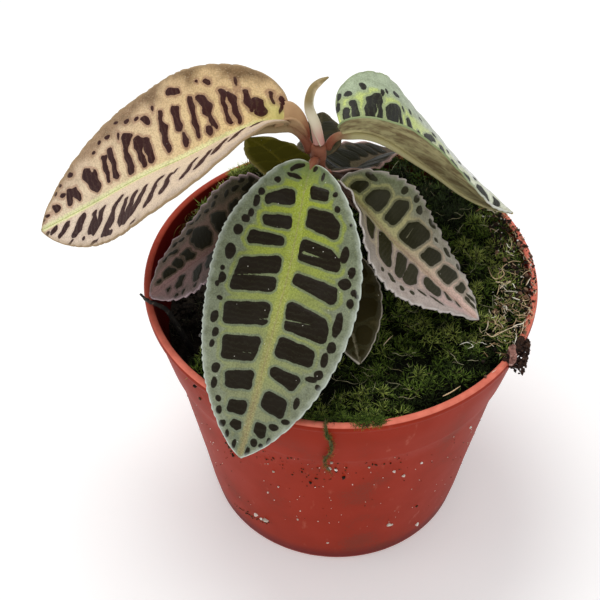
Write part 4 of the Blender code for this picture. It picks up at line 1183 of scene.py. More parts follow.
def makeStem():
    heights = np.linspace(stem["foot"][2], stem["top"][2], 90)
    points, radii = [], []
    for height in heights:
        x, y, radius = stemSpot(height)
        swell = max(math.exp(-((height - leaf["height"]) / 1.1) ** 2) for leaf in leaves.values())
        points.append((x, y, height))
        radii.append(radius + stem["swelling"] * swell)
    radii[-1] *= 0.8
    piece = addTube("stemShoot", points, radii, 28, 150)
    skin = Finish("stemSkin")
    rings = skin.noise(2.2, 3, skin.stretched(1, 1, 3))
    streaks = skin.noise(0.9, 3, skin.stretched(3, 3, 0.4))
    along = skin.number("along")
    tones = palette(stem["tones"])
    colour = skin.blend(skin.between(streaks, 0.3, 0.7), tones[0], tones[1])
    colour = skin.blend(skin.between(along + (rings - 0.5) * 0.3, 0.8, 1.0), colour, tones[2])
    skin.set(Base_Color=colour, Roughness=0.5, Specular_IOR_Level=0.12,
             Normal=skin.bump(rings + streaks, 0.15, 0.6))
    finishPiece(piece, "stem_skin", "stem", finish=skin.material)


def makeYoungLeaf():
    rings = youngLeaf["rings"]
    piece, along, across = addSheet("youngLeaf", rings, 40)
    ring = np.rint(along * rings).astype(int)
    at = np.linspace(0, 1, rings + 1)
    start = np.array(stem["top"])
    path = start + through(np.linspace(0, 1, len(youngLeaf["path"])), youngLeaf["path"], at)
    radius = through(np.linspace(0, 1, len(youngLeaf["radii"])), youngLeaf["radii"], at)
    _, side, front = carryAxes(path)
    # The blade is still rolled round itself: a spiral whose outer margin shows as a seam.
    part = (across + 1) / 2
    angle = 2 * math.pi * (youngLeaf["turns"] * part + 0.55 * along + 0.3)
    reach = radius[ring] * (0.42 + 0.52 * part)
    points = path[ring] + reach[:, None] * (
        np.cos(angle)[:, None] * side[ring] + np.sin(angle)[:, None] * front[ring])
    placePoints(piece, points)
    writeNumbers(piece, "along", along)
    writeNumbers(piece, "edge", (1 - part) * radius[ring] * 2 * math.pi)
    applyModifier(piece, "SOLIDIFY", thickness=youngLeaf["thick"] * mm, offset=0)
    inEditMode(piece, faceOutwards)
    skin = Finish("youngLeafSkin")
    along, edge = skin.number("along"), skin.number("edge")
    broad, fine = skin.noise(1.8, 3), skin.noise(0.3, 2)
    tones = palette(youngLeaf["tones"])
    colour = skin.blend(skin.between(along, 0.02, 0.3), tones[0], tones[1])
    colour = skin.blend(skin.between(along + (broad - 0.5) * 0.5, 0.4, 0.7), colour, tones[3])
    colour = skin.blend(skin.between(edge + (broad - 0.5) * 2.0, 2.2, 1.2) * skin.between(along, 0.3, 0.5),
                        colour, tones[2])
    colour = skin.blend(skin.between(edge, 0.3, 0.05), colour, tones[1])
    skin.set(Base_Color=colour, Roughness=0.5, Normal=skin.bump(fine, 0.08, 0.4))
    finishPiece(piece, "young_leaf", "new_leaf", finish=skin.material)


makeStem()
makeYoungLeaf()
print("stem and young leaf")


# Pot

def makePot():
    stepHeight = pot["rimHeight"] - pot["collarHeight"]
    rim, top, lip = pot["rimRadius"], pot["rimHeight"], pot["lipHeight"]
    inside = [(float(innerRadius(h)), h) for h in (pot["floor"], 2.4, 20.0, 40.0, stepHeight - 1.5)]
    inside += [(float(innerRadius(h)), h) for h in (stepHeight, 70.0, top - 4.0, top - 2.0)]
    profile = [
        (8.0, 0.0), (30.0, 0.0), (33.2, 0.0), (33.6, 0.5), (34.6, 0.5), (35.0, 0.0), (36.2, 0.0),
        (36.9, 0.3), (37.3, 0.9), (37.5, 2.0), (38.6, 8.0), (40.3, 20.0), (43.5, 40.0), (46.0, 55.4),
        (46.95, 60.9), (47.2, 61.3), (47.8, 61.5), (48.05, 61.9), (48.3, 63.0), (49.6, 69.0), (50.9, 75.0),
        (51.05, top - lip - 1.1), (51.2, top - lip - 0.5), (51.6, top - lip - 0.25),
        (rim - 0.35, top - lip), (rim - 0.1, top - lip + 0.25), (rim, top - 1.6), (rim, top - 0.8),
        (rim - 0.15, top - 0.35), (rim - 0.5, top - 0.08), (rim - 0.9, top), (rim - 1.5, top - 0.05),
        (rim - 1.85, top - 0.3), (rim - 2.0, top - 0.8)]
    profile += inside[::-1] + [(30.0, pot["floor"]), (8.0, pot["floor"])]
    clearSelection()
    bpy.ops.mesh.primitive_grid_add(x_subdivisions=len(profile) - 1, y_subdivisions=1, size=2)
    piece = bpy.context.object
    piece.name = "pot"
    spots = readPoints(piece)
    place = np.rint((spots[:, 0] + 1) / 2 * (len(profile) - 1)).astype(int)
    line = np.array(profile)
    placePoints(piece, np.stack([line[place][:, 0], np.zeros(len(place)), line[place][:, 1]], -1))

    def spinRound():
        bpy.ops.mesh.remove_doubles(threshold=pot["merge"] * mm)
        bpy.ops.mesh.delete(type="ONLY_FACE")
        bpy.ops.mesh.select_all(action="SELECT")
        bpy.ops.mesh.spin(steps=pot["steps"], angle=2 * math.pi, center=(0, 0, 0), axis=(0, 0, 1))
        bpy.ops.mesh.select_all(action="SELECT")
        bpy.ops.mesh.remove_doubles(threshold=pot["merge"] * mm)
        bpy.ops.mesh.select_all(action="SELECT")

    inEditMode(piece, spinRound, closeEnds, faceOutwards)
    cutters = []
    for number in range(pot["holes"]):
        angle = 2 * math.pi * number / pot["holes"]
        clearSelection()
        ring = pot["holeRing"] * mm
        bpy.ops.mesh.primitive_cylinder_add(
            vertices=32, radius=pot["holeRadius"] * mm, depth=8 * mm,
            location=(ring * math.cos(angle), ring * math.sin(angle), 0.8 * mm))
        cutters.append(bpy.context.object)
    cutter = joinPieces(cutters)
    applyModifier(piece, "BOOLEAN", operation="DIFFERENCE", solver="EXACT", object=cutter)
    removePiece(cutter)
    spots = readPoints(piece) / mm
    reach, level = np.hypot(spots[:, 0], spots[:, 1]), spots[:, 2]
    inside = (np.abs(reach - innerRadius(level)) < 0.3) & (level < top - 0.4)
    writeNumbers(piece, "inside", inside | (level < pot["floor"] + 1) & (level > 1))
    shell = Finish("potPlastic")
    height = shell.coordinate(2)
    cloud, fine = shell.noise(14.0, 4), shell.noise(0.5, 2)
    scuff = shell.noise(2.4, 4, shell.stretched(1, 1, 0.35))
    tone = paint(*pot["tone"])
    colour = shell.blend(shell.between(cloud, 0.3, 0.75), tone, scaled(tone, 0.86))
    colour = shell.blend(shell.between(scuff, 0.62, 0.8) * 0.35, colour, paint(*pot["scuffTone"]))
    # Painted highlight: the lip's top is painted pale where it catches the light, most of all to the front
    # right, broken up a little by the scuffs; its outer edge shows a fine line.
    across, depth = shell.coordinate(0), shell.coordinate(1)
    litLip = shell.between(height, 81.3, 81.6) * (0.2 + shell.between(across - depth, -55.0, 0.0) * 0.75)
    litLip = litLip * (0.75 + shell.between(scuff, 0.3, 0.7) * 0.25)
    colour = shell.blend(litLip, colour, paint(*pot["lipHighlightTone"]))
    # Painted shade: the pot's inner faces are painted a darker red than the outside, for the shade inside the
    # pot.
    colour = shell.blend(shell.number("inside"), colour, paint(*pot["innerShadeTone"]))
    dust = shell.between(cloud + (fine - 0.5) * 0.6, 0.55, 0.72) * shell.between(height, 82.0, 60.0)
    colour = shell.blend(dust * 0.3, colour, paint(*pot["dustTone"]))
    shell.set(Base_Color=colour, Roughness=0.5 + (cloud - 0.5) * 0.2, Specular_IOR_Level=0.08,
              Normal=shell.bump(fine * 0.7 + scuff * 0.5, 0.06, 0.4))
    finishPiece(piece, "pot_plastic", "pot", finish=shell.material, crease=38)


makePot()
print("pot")


# Moss

moss = dict(
    seed=11, spacing=1.36, size=(0.8, 1.45), lean=30, bedColumns=180, bedRows=60,
    wallShoots=460, wallHeight=(67.0, 78.5),
    blades=12, bladeRise=(0.15, 1.2), bladeLength=(1.6, 2.8), bladeRadius=0.105, bladeDroop=0.05, axis=1.0,
    clumpSpacing=5.8, clumpRadius=2.4, clumpRise=2.2,
    bright=((35.5, 7.5, 7.5, 0.95), (36.0, -12.0, 10.0, 0.6), (8.0, -44.0, 7.0, 0.25), (1.0, -43.0, 6.0, 0.2),
            (-31.0, 39.0, 8.0, 0.6), (40.0, -5.0, 9.0, 0.6), (26.0, -27.0, 9.0, 0.25), (24.0, 8.0, 9.0, 0.3),
            (29.0, -18.0, 6.0, 0.55), (43.0, -20.0, 6.0, 0.55)),
    shade=((29.0, 35.0, 13.0, 0.8), (30.0, 24.0, 5.0, 0.5), (22.0, 14.0, 4.0, 0.3), (14.0, 44.0, 10.0, 0.5),
           (28.0, -39.5, 4.0, 0.4)),
    rimMoss=((116, 131, 47.6, 50.6, 80.6, 82.8, 120, 0.9), (57, 80, 48.6, 51.4, 79.6, 82.4, 130, 0.15),
             (-101, -76, 48.8, 50.8, 80.4, 82.0, 70, 0.4), (28, 44, 48.6, 50.8, 80.6, 82.2, 50, 0.3)),
    tones=((4, 6, 2), (46, 62, 18), (114, 144, 48), (198, 214, 104), (246, 248, 204)),
    bedTones=((4, 4, 2), (20, 23, 8), (58, 52, 26)))


def wallDistance(x, y, angle, radius):
    along = x * np.cos(angle) + y * np.sin(angle)
    return -along + np.sqrt(along**2 - (x * x + y * y) + radius**2)


def bareDistance(x, y, angle):
    ahead = (ground["bare"][0] - x) * np.cos(angle) + (ground["bare"][1] - y) * np.sin(angle)
    aside = (ground["bare"][0] - x) * np.sin(angle) - (ground["bare"][1] - y) * np.cos(angle)
    hit = (ahead > 0) & (np.abs(aside) < ground["bareRadius"])
    return np.where(hit, ahead - np.sqrt(np.maximum(ground["bareRadius"]**2 - aside**2, 0)), 1e9)


def makeMossBed():
    columns, rows = moss["bedColumns"], moss["bedRows"]
    piece, along, across = addSheet("mossBed", columns, rows)
    angle = 2 * math.pi * along
    depth = (across + 1) / 2
    x, y, radius = stemSpot(ground["mossHeight"])
    wall = float(innerRadius(ground["soilHeight"])) - gap
    reach = np.minimum(wallDistance(x, y, angle, wall), bareDistance(x, y, angle))
    part = np.minimum(depth / 0.8, 1.0)
    hole = radius + 0.5
    reach = hole + (reach - hole) * part
    px, py = x + reach * np.cos(angle), y + reach * np.sin(angle)
    top = mossHeight(px, py) - ground["shoulder"] * ramp(part, 0.9, 1.0) - 1.0
    floor = ground["soilHeight"] - 0.6
    top = top + 0.5 * np.sin(3.1 * px + 2 * np.sin(1.7 * py)) * np.sin(2.9 * py + 1.0)
    down = np.clip((depth - 0.8) / 0.2, 0, 1)
    height = top + (floor - top) * down
    flare = (innerRadius(height) - float(innerRadius(ground["soilHeight"]))) / wall
    spread = 1 + flare * ramp(part, 0.5, 1.0)
    rough = 0.6 * np.sin(9 * angle + 1.3 * height) * ramp(down, 0.02, 0.3)
    rough = rough * ramp(wall - np.hypot(px, py), 0.5, 3.0)
    px = px * spread + rough * np.cos(angle)
    py = py * spread + rough * np.sin(angle)
    placePoints(piece, np.stack([px, py, height], -1))
    inEditMode(piece, mergeDoubles, closeEnds, faceOutwards)
    bed = Finish("mossBedding")
    broad, fine = bed.noise(2.5, 4), bed.noise(0.5, 3)
    # The bed is painted near black as painted shade, since it shows only deep in the gaps between the shoots.
    colour = bed.blend(bed.between(broad, 0.35, 0.7), *palette(moss["bedTones"][:2]))
    colour = bed.blend(bed.between(fine, 0.6, 0.8) * 0.4, colour, paint(*moss["bedTones"][2]))
    bed.set(Base_Color=colour, Roughness=0.95, Specular_IOR_Level=0.1,
            Normal=bed.bump(fine + broad, 0.6, 0.9))
    finishPiece(piece, "moss", "moss", finish=bed.material)


def makeShootModel(seed, blades):
    # One moss shoot: thin pointed blades in a star round a short axis, widest a third of the way up.
    draw = random.Random(seed)
    pieces = []
    for number in range(blades):
        heading = 2 * math.pi * (number * 0.382 + draw.uniform(-0.06, 0.06))
        raised = draw.uniform(*moss["bladeRise"])
        length = draw.uniform(*moss["bladeLength"])
        root = np.array([0.0, 0.0, moss["axis"] * number / blades])
        clearSelection()
        bpy.ops.mesh.primitive_cone_add(
            vertices=3, radius1=moss["bladeRadius"] * mm, radius2=0, depth=length * mm,
            end_fill_type="TRIFAN")
        blade = bpy.context.object
        spots = readPoints(blade) / mm
        across = np.hypot(spots[:, 0], spots[:, 1])
        share = np.where(across > 0.01, 0.3, np.where(spots[:, 2] > 0, 1.0, 0.0))
        outward = np.array([math.cos(heading) * math.cos(raised), math.sin(heading) * math.cos(raised),
                            math.sin(raised)])
        side = np.array([-math.sin(heading), math.cos(heading), 0.0])
        over = np.cross(outward, side)
        placed = root + (share * length)[:, None] * outward
        placed = placed + spots[:, 0:1] * 1.2 * side + spots[:, 1:2] * 0.7 * over
        placed[:, 2] -= moss["bladeDroop"] * (share * length) ** 2
        placePoints(blade, placed)
        writeNumbers(blade, "along", share)
        pieces.append(blade)
    model = joinPieces(pieces)
    model.name = "shootModel"
    return model


def makeMossFinish():
    skin = Finish("mossLeaf")
    tone, along = skin.number("tone"), skin.number("along")
    broad, fine = skin.noise(5.0, 3), skin.noise(0.7, 2)
    tones = palette(moss["tones"])
    # Each blade is painted near black at its base, as painted shade deep in the cushion, and lighter towards
    # its tip; the palest tone on the tips of bright shoots is partly the moss's own pale tips and partly
    # painted highlight.
    lively = tone + (broad - 0.5) * 0.3
    tip = skin.blend(skin.between(lively, 0.1, 0.5), tones[1], tones[2])
    tip = skin.blend(skin.between(lively, 0.5, 0.95), tip, tones[3])
    tip = skin.blend(skin.between(along, 0.75, 1.0) * skin.between(lively, 0.35, 0.9) * 0.8, tip, tones[4])
    colour = skin.blend(skin.between(along, 0.1, 0.85), tones[0], tip)
    return skin.set(Base_Color=colour, Roughness=0.6, Specular_IOR_Level=0.2,
                    Normal=skin.bump(fine, 0.1, 0.3))


# Painted light and shade on the moss: it is painted lighter in pools where it lies open to the light and
# darker in painted shadows, most of all under the right leaf.
def paintedLightAndShade(x, y):
    lightAndShade = np.zeros(np.shape(x))
    for bx, by, radius, gain in moss["bright"]:
        lightAndShade = np.maximum(lightAndShade, gain * np.exp(-((x - bx) ** 2 + (y - by) ** 2) / radius**2))
    for bx, by, radius, loss in moss["shade"]:
        lightAndShade = lightAndShade - loss * np.exp(-((x - bx) ** 2 + (y - by) ** 2) / radius**2)
    return lightAndShade


def clumps(x, y, draw):
    # The moss grows in clumps: gives how near each place is to its clump's middle and that clump's tone.
    steps = np.arange(-52, 53, moss["clumpSpacing"])
    cx, cy = (part.ravel() for part in np.meshgrid(steps, steps))
    cx = cx + draw.uniform(-2.2, 2.2, len(cx))
    cy = cy + draw.uniform(-2.2, 2.2, len(cy))
    own = draw.normal(0, 0.17, len(cx))
    away = np.hypot(x[:, None] - cx, y[:, None] - cy)
    nearest = away.argmin(axis=1)
    return np.exp(-(away.min(axis=1) / moss["clumpRadius"]) ** 2), own[nearest]


def makeMossShoots():
    draw = np.random.default_rng(moss["seed"])
    steps = np.arange(-52, 52, moss["spacing"])
    x, y = (part.ravel() for part in np.meshgrid(steps, steps))
    x = x + draw.uniform(-0.6, 0.6, len(x))
    y = y + draw.uniform(-0.6, 0.6, len(y))
    height = mossHeight(x, y)
    distance = np.hypot(x - ground["bare"][0], y - ground["bare"][1]) - ground["bareRadius"]
    room = innerRadius(height) - 0.7 - np.hypot(x, y)
    stemX, stemY, _ = stemSpot(80.0)
    keep = (distance > 0.2) & (room > 0) & (np.hypot(x - stemX, y - stemY) > 2.4)
    keep &= draw.uniform(size=len(x)) < 0.93
    x, y, height, distance, room = x[keep], y[keep], height[keep], distance[keep], room[keep]
    height = height - ground["shoulder"] * ramp(3.0 - np.minimum(room, distance), 0.0, 3.0) * 0.7 - 0.9
    height = height + draw.uniform(-0.7, 0.8, len(x))
    lightAndShade = paintedLightAndShade(x, y)
    near, own = clumps(x, y, draw)
    height = height + moss["clumpRise"] * (near - 0.6)
    # Shoots are painted lighter towards their clump's middle and darker between clumps, as painted shade in
    # the gaps, on top of each clump's own tone and the painted light and shade.
    tone = 0.02 + 0.08 * waves(x * 0.9, y) + 0.62 * near + own + lightAndShade * (0.35 + 0.65 * near)
    tone = np.clip(tone + draw.normal(0, 0.17, len(x)), 0, 1)
    # Shoots beside the bare hollow lean over its edge.
    lean = np.radians(moss["lean"]) * np.abs(draw.normal(0, 0.6, len(x)))
    heading = draw.uniform(0, 2 * math.pi, len(x))
    atEdge = ramp(4.0 - distance, 0, 4)
    toBare = np.arctan2(ground["bare"][1] - y, ground["bare"][0] - x)
    heading = np.where(atEdge > 0.4, toBare + draw.normal(0, 0.5, len(x)), heading)
    lean = lean + 0.7 * atEdge
    size = draw.uniform(*moss["size"], len(x)) * (0.8 + 0.3 * near)
    # More shoots on the upright side of the cushion above the bare soil.
    count = moss["wallShoots"]
    turn = draw.uniform(-1.25, 1.25, count)
    wx = ground["bare"][0] + (ground["bareRadius"] + 0.3) * np.cos(turn)
    wy = ground["bare"][1] + (ground["bareRadius"] + 0.3) * np.sin(turn)
    wz = draw.uniform(*moss["wallHeight"], count)
    inside = np.hypot(wx, wy) < innerRadius(wz) - 1.0
    wx, wy, wz, turn = wx[inside], wy[inside], wz[inside], turn[inside]
    extra = len(wx)
    x, y, height = np.concatenate([x, wx]), np.concatenate([y, wy]), np.concatenate([height, wz])
    heading = np.concatenate([heading, turn + math.pi + draw.normal(0, 0.4, extra)])
    lean = np.concatenate([lean, draw.uniform(0.8, 1.5, extra)])
    size = np.concatenate([size, draw.uniform(0.7, 1.2, extra)])
    tone = np.concatenate([tone, draw.uniform(0.0, 0.12, extra)])
    spin = draw.uniform(0, 2 * math.pi, len(x))
    turns = turnsFor(heading, lean, spin)
    places = np.stack([x, y, height], -1)
    order = draw.permutation(len(x))
    models = [makeShootModel(seed, moss["blades"]) for seed in (1, 2, 3, 4)]
    for number, model in enumerate(models):
        part = order[number::len(models)]
        piece = layCopies("mossShoots%d" % (number + 1), model, places[part], turns[part], size[part],
                          tone[part])
        finishPiece(piece, "moss", "moss", finish=mossFinish)
        removePiece(model)
    print("moss shoots", len(x))


def makeRimMoss():
    # In places the moss climbs to the lip.
    draw = np.random.default_rng(moss["seed"] + 1)
    places, headings, tones = [], [], []
    for start, end, near, far, low, high, count, tone in moss["rimMoss"]:
        angle = np.radians(draw.uniform(start, end, count))
        reach, level = draw.uniform(near, far, count), draw.uniform(low, high, count)
        level = np.minimum(level, pot["rimHeight"] - 0.3 + 0.6 * (far - reach))
        places.append(around(reach, angle, level))
        headings.append(angle + math.pi + draw.normal(0, 1.2, count))
        tones.append(np.clip(draw.normal(tone, 0.2, count), 0, 1))
    places, headings, tones = (np.concatenate(parts) for parts in (places, headings, tones))
    total = len(places)
    turns = turnsFor(headings, draw.uniform(0.0, 0.9, total), anyAngle(draw, total))
    model = makeShootModel(8, moss["blades"])
    strew("rimMoss", model, places, turns, draw.uniform(0.55, 1.05, total), tones, "moss", mossFinish)
    removePiece(model)


mossFinish = makeMossFinish()
makeMossBed()
makeMossShoots()
makeRimMoss()


# Soil, roots, perlite and dry strands

soil = dict(
    seed=5, mesh=96, bedThick=1.5, crumbs=1200, crumbSize=(0.25, 1.1), fuzz=420,
    fuzzSpots=((-41, -12, 8), (-44, -22, 7), (-37, -1, 6)),
    perlite=((-37.7, -9.5, 0.8), (-48.6, -2.8, 0.9), (-33.0, -24.5, 0.6)),
    tones=((18, 14, 12), (52, 44, 36), (94, 90, 76)), fuzzTones=((34, 38, 26), (70, 76, 52), (120, 122, 92)))
strands = dict(
    seed=21, thin=440, reach=48.0, tones=((112, 104, 70), (182, 176, 140), (226, 222, 198)),
    wallRoots=110, wallTurn=(128, 160), wallHeight=(73.0, 79.5),
    wallTones=((84, 70, 34), (128, 108, 56), (172, 146, 92)))
litter = dict(
    seed=33, crumbs=430, crumbSize=(0.3, 1.0), bits=46, straws=330, strawLength=(0.8, 3.2),
    outermost=52.0, band=9.7, strawBand=10.3, lipFrom=50.0, bitReach=(51.6, 11.0), bitTurn=(-34, 32),
    crust=dict(start=-35.5, end=-25.0, inner=50.8, spread=3.0, widening=0.3, height=(79.6, 82.3),
               size=(0.3, 0.7)),
    crustCrumbs=430, dirtTones=((18, 13, 10), (58, 38, 28), (120, 92, 72)),
    strawTones=((132, 98, 66), (220, 192, 150), (255, 250, 232)),
    paleTones=((190, 184, 168), (226, 222, 210), (250, 248, 240)))
# Single roots and straws: their places on the moss or lip, their radius and how high they lie.
roots = (
    (((39.3, 1.8), (40.0, -3.5), (41.7, -3.4), (43.4, -0.8), (43.0, 1.5), (45.5, 3.2), (48.1, 3.7)),
     0.14, 1.5),
    (((40.8, -4.9), (43.0, -4.4), (45.1, -3.3)), 0.2, 1.3),
    (((44.7, 11.1), (44.9, 9.4), (45.6, 7.7)), 0.2, 1.4),
    (((48.0, 9.0), (49.0, 7.4), (50.4, 5.8), (51.4, 3.9)), 0.15, 0.5),
    (((37.3, -22.4), (38.9, -23.7), (42.6, -20.8), (46.9, -18.2), (48.8, -16.2)), 0.11, 1.7),
    (((44.9, -9.5), (46.2, -10.6), (47.4, -11.2)), 0.15, 1.5),
    (((47.6, -9.0), (48.6, -12.0), (50.4, -14.4)), 0.16, 1.0),
    (((47.4, -16.4), (47.2, -18.6), (46.4, -21.0)), 0.16, 0.5),
    (((44.8, -19.6), (45.2, -22.0), (44.6, -24.4)), 0.15, 0.9),
    (((25.9, -41.9), (28.0, -40.9), (30.4, -38.6)), 0.16, 1.0),
    (((11.4, -25.4), (12.7, -23.7), (13.9, -21.9)), 0.12, 1.4),
    (((30.6, -26.3), (32.4, -25.6), (33.9, -26.9), (32.4, -28.3)), 0.1, 1.6))


def makeCrumbModel(seed, level):
    clearSelection()
    bpy.ops.mesh.primitive_ico_sphere_add(subdivisions=level, radius=1.0 * mm)
    model = bpy.context.object
    draw = np.random.default_rng(seed)
    spots = readPoints(model) / mm
    shift = draw.uniform(0.62, 1.15, len(spots))
    placePoints(model, spots * shift[:, None] * (1.0, 0.85, 0.7))
    return model


def makeStrandModel(seed, wander, radius):
    # A strand of length 1, upright.
    draw = random.Random(seed)
    points = []
    side, front = 0.0, 0.0
    for number in range(5):
        points.append((side, front, number / 4 - 0.5))
        side += draw.uniform(-wander, wander)
        front += draw.uniform(-wander, wander) / 2
    return addTube("strandModel", points, [radius * part for part in (0.6, 1.0, 0.95, 0.8, 0.3)], 3, 7)


def strandTurns(heading, tilt, draw):
    return turnsFor(heading, tilt, draw.uniform(-0.4, 0.4, len(heading)))


def restHeight(x, y):
    # How high loose bits lie: on the moss, or on the pot's lip.
    reach = np.hypot(x, y)
    lip = float(innerRadius(pot["rimHeight"]))
    return np.where(reach > lip - 0.5, pot["rimHeight"], mossHeight(x, y) + 0.5)


def toneFinish(name, tones, roughness=0.8):
    # A finish for loose bits, each copy with its own tone.
    skin = Finish(name)
    tone, grain = skin.number("tone"), skin.noise(0.8, 3)
    colour = skin.blend(skin.between(tone + (grain - 0.5) * 0.5, 0.1, 0.6), *palette(tones[:2]))
    colour = skin.blend(skin.between(tone + (grain - 0.5) * 0.2, 0.65, 1.0), colour, paint(*tones[2]))
    return skin.set(Base_Color=colour, Roughness=roughness, Specular_IOR_Level=0.2,
                    Normal=skin.bump(grain, 0.2, 0.5))


def tumbled(draw, count):
    return turnsFor(anyAngle(draw, count), draw.uniform(0, 1.5, count), anyAngle(draw, count))


def makeSoil():
    piece, along, across = addSheet("soilBed", soil["mesh"], soil["mesh"])
    # The square grid becomes a disc, by its rings.
    sx, sy = along * 2 - 1, across
    ring = np.maximum(np.abs(sx), np.abs(sy))
    angle = np.arctan2(sy, sx)
    wall = float(innerRadius(ground["soilHeight"] - 3)) - gap
    x, y = ring * wall * np.cos(angle), ring * wall * np.sin(angle)
    height = soilHeight(x, y) - 0.2
    fine = 0.3 * np.sin(4.3 * x) * np.sin(3.9 * y + 2)
    height += 0.5 * np.sin(1.9 * x + np.sin(2.3 * y)) * np.sin(2.2 * y) + fine
    height = height - 4 * ramp(ring, 0.985, 1.0)
    placePoints(piece, np.stack([x, y, height], -1))
    peat = Finish("peat")
    broad, fine = peat.noise(2.0, 4), peat.noise(0.45, 3)
    colour = peat.blend(peat.between(broad, 0.3, 0.7), *palette(soil["tones"][:2]))
    colour = peat.blend(peat.between(fine, 0.6, 0.8) * 0.5, colour, paint(*soil["tones"][2]))
    peat.set(Base_Color=colour, Roughness=0.95, Specular_IOR_Level=0.2,
             Normal=peat.bump(fine + broad, 0.5, 0.9))
    applyModifier(piece, "SOLIDIFY", thickness=soil["bedThick"] * mm, offset=-1)
    finishPiece(piece, "peat", finish=peat.material)
    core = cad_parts["soil"]
    core.data.materials.clear()
    core.data.materials.append(peat.material)
    return peat.material


def makeCrumbs(peat):
    draw = np.random.default_rng(soil["seed"])
    count = soil["crumbs"]
    angle = draw.uniform(0, 2 * math.pi, count * 3)
    reach = ground["bareRadius"] * np.sqrt(draw.uniform(0, 1, count * 3))
    x = ground["bare"][0] + reach * np.cos(angle)
    y = ground["bare"][1] + reach * np.sin(angle)
    keep = np.hypot(x, y) < innerRadius(ground["bareLevel"]) - 1.0
    x, y = x[keep][:count], y[keep][:count]
    count = len(x)
    least, most = soil["crumbSize"]
    size = least + (most - least) * draw.uniform(0, 1, count) ** 2.5
    places = np.stack([x, y, soilHeight(x, y) + size * 0.2], -1)
    turns = tumbled(draw, count)
    half = count // 2
    for name, level, part in (("soilCrumbsFine", 1, slice(half, None)), ("soilCrumbs", 2, slice(0, half))):
        model = makeCrumbModel(30 + level, level)
        strew(name, model, places[part], turns[part], size[part], draw.uniform(0, 1, len(x[part])), "peat",
              peat, grainCrease)
        removePiece(model)


def makeFuzz():
    # Fine grey-green growth on the bare soil, and white grains among it.
    draw = np.random.default_rng(soil["seed"] + 1)
    model = makeStrandModel(5, 0.3, 0.02)
    places = []
    for x, y, reach in soil["fuzzSpots"]:
        count = soil["fuzz"] // len(soil["fuzzSpots"])
        places.append(np.stack([draw.normal(x, reach / 2, count), draw.normal(y, reach / 2, count)], -1))
    x, y = np.concatenate(places).T
    keep = np.hypot(x, y) < innerRadius(ground["bareLevel"]) - 1.0
    keep &= np.hypot(x - ground["bare"][0], y - ground["bare"][1]) < ground["bareRadius"]
    x, y = x[keep], y[keep]
    count = len(x)
    turns = turnsFor(anyAngle(draw, count), draw.uniform(0.2, 1.6, count), anyAngle(draw, count))
    height = soilHeight(x, y) + draw.uniform(0.3, 1.0, count)
    strew("soilFuzz", model, np.stack([x, y, height], -1), turns, draw.uniform(1.4, 3.4, count),
          draw.uniform(0, 1, count), "peat", toneFinish("fuzz", soil["fuzzTones"]))
    removePiece(model)
    grain = makeCrumbModel(3, 2)
    x, y, size = np.array(soil["perlite"]).T
    places = np.stack([x, y, soilHeight(x, y) + size * 0.4], -1)
    strew("soilPerlite", grain, places, tumbled(draw, len(x)), size, draw.uniform(0.5, 1, len(x)), "peat",
          paleFinish, grainCrease)
    removePiece(grain)


def makeThinStrands():
    # Thin dry strands lie all over the moss, and roots hang on the pot's bare inner wall at the back left.
    draw = np.random.default_rng(strands["seed"])
    model = makeStrandModel(7, 0.2, 0.018)
    count = strands["thin"]
    angle = draw.uniform(0, 2 * math.pi, count)
    reach = strands["reach"] * np.sqrt(draw.uniform(0, 1, count))
    x, y = reach * np.cos(angle), reach * np.sin(angle)
    keep = np.hypot(x - ground["bare"][0], y - ground["bare"][1]) > ground["bareRadius"]
    x, y = x[keep], y[keep]
    count = len(x)
    height = mossHeight(x, y) + draw.uniform(0.2, 1.6, count)
    turns = strandTurns(anyAngle(draw, count), math.pi / 2 + draw.normal(0, 0.4, count), draw)
    tones = draw.uniform(0, 0.75, count)
    strew("thinStrands", model, np.stack([x, y, height], -1), turns, draw.uniform(2.0, 5.0, count), tones,
          "moss", toneFinish("thinStrand", strands["tones"]))
    count = strands["wallRoots"]
    angle = np.radians(draw.uniform(*strands["wallTurn"], count))
    height = draw.uniform(*strands["wallHeight"], count)
    reach = innerRadius(height) - 1.1
    heading = angle + math.pi + draw.normal(0, 1.1, count)
    turns = turnsFor(heading, draw.uniform(0.2, 1.0, count), anyAngle(draw, count))
    places = around(reach, angle, height)
    removePiece(model)
    model = makeStrandModel(8, 0.14, 0.028)
    strew("wallRoots", model, places, turns, draw.uniform(2.0, 4.4, count), draw.uniform(0, 1, count),
          "moss", toneFinish("wallRoot", strands["wallTones"]))
    removePiece(model)


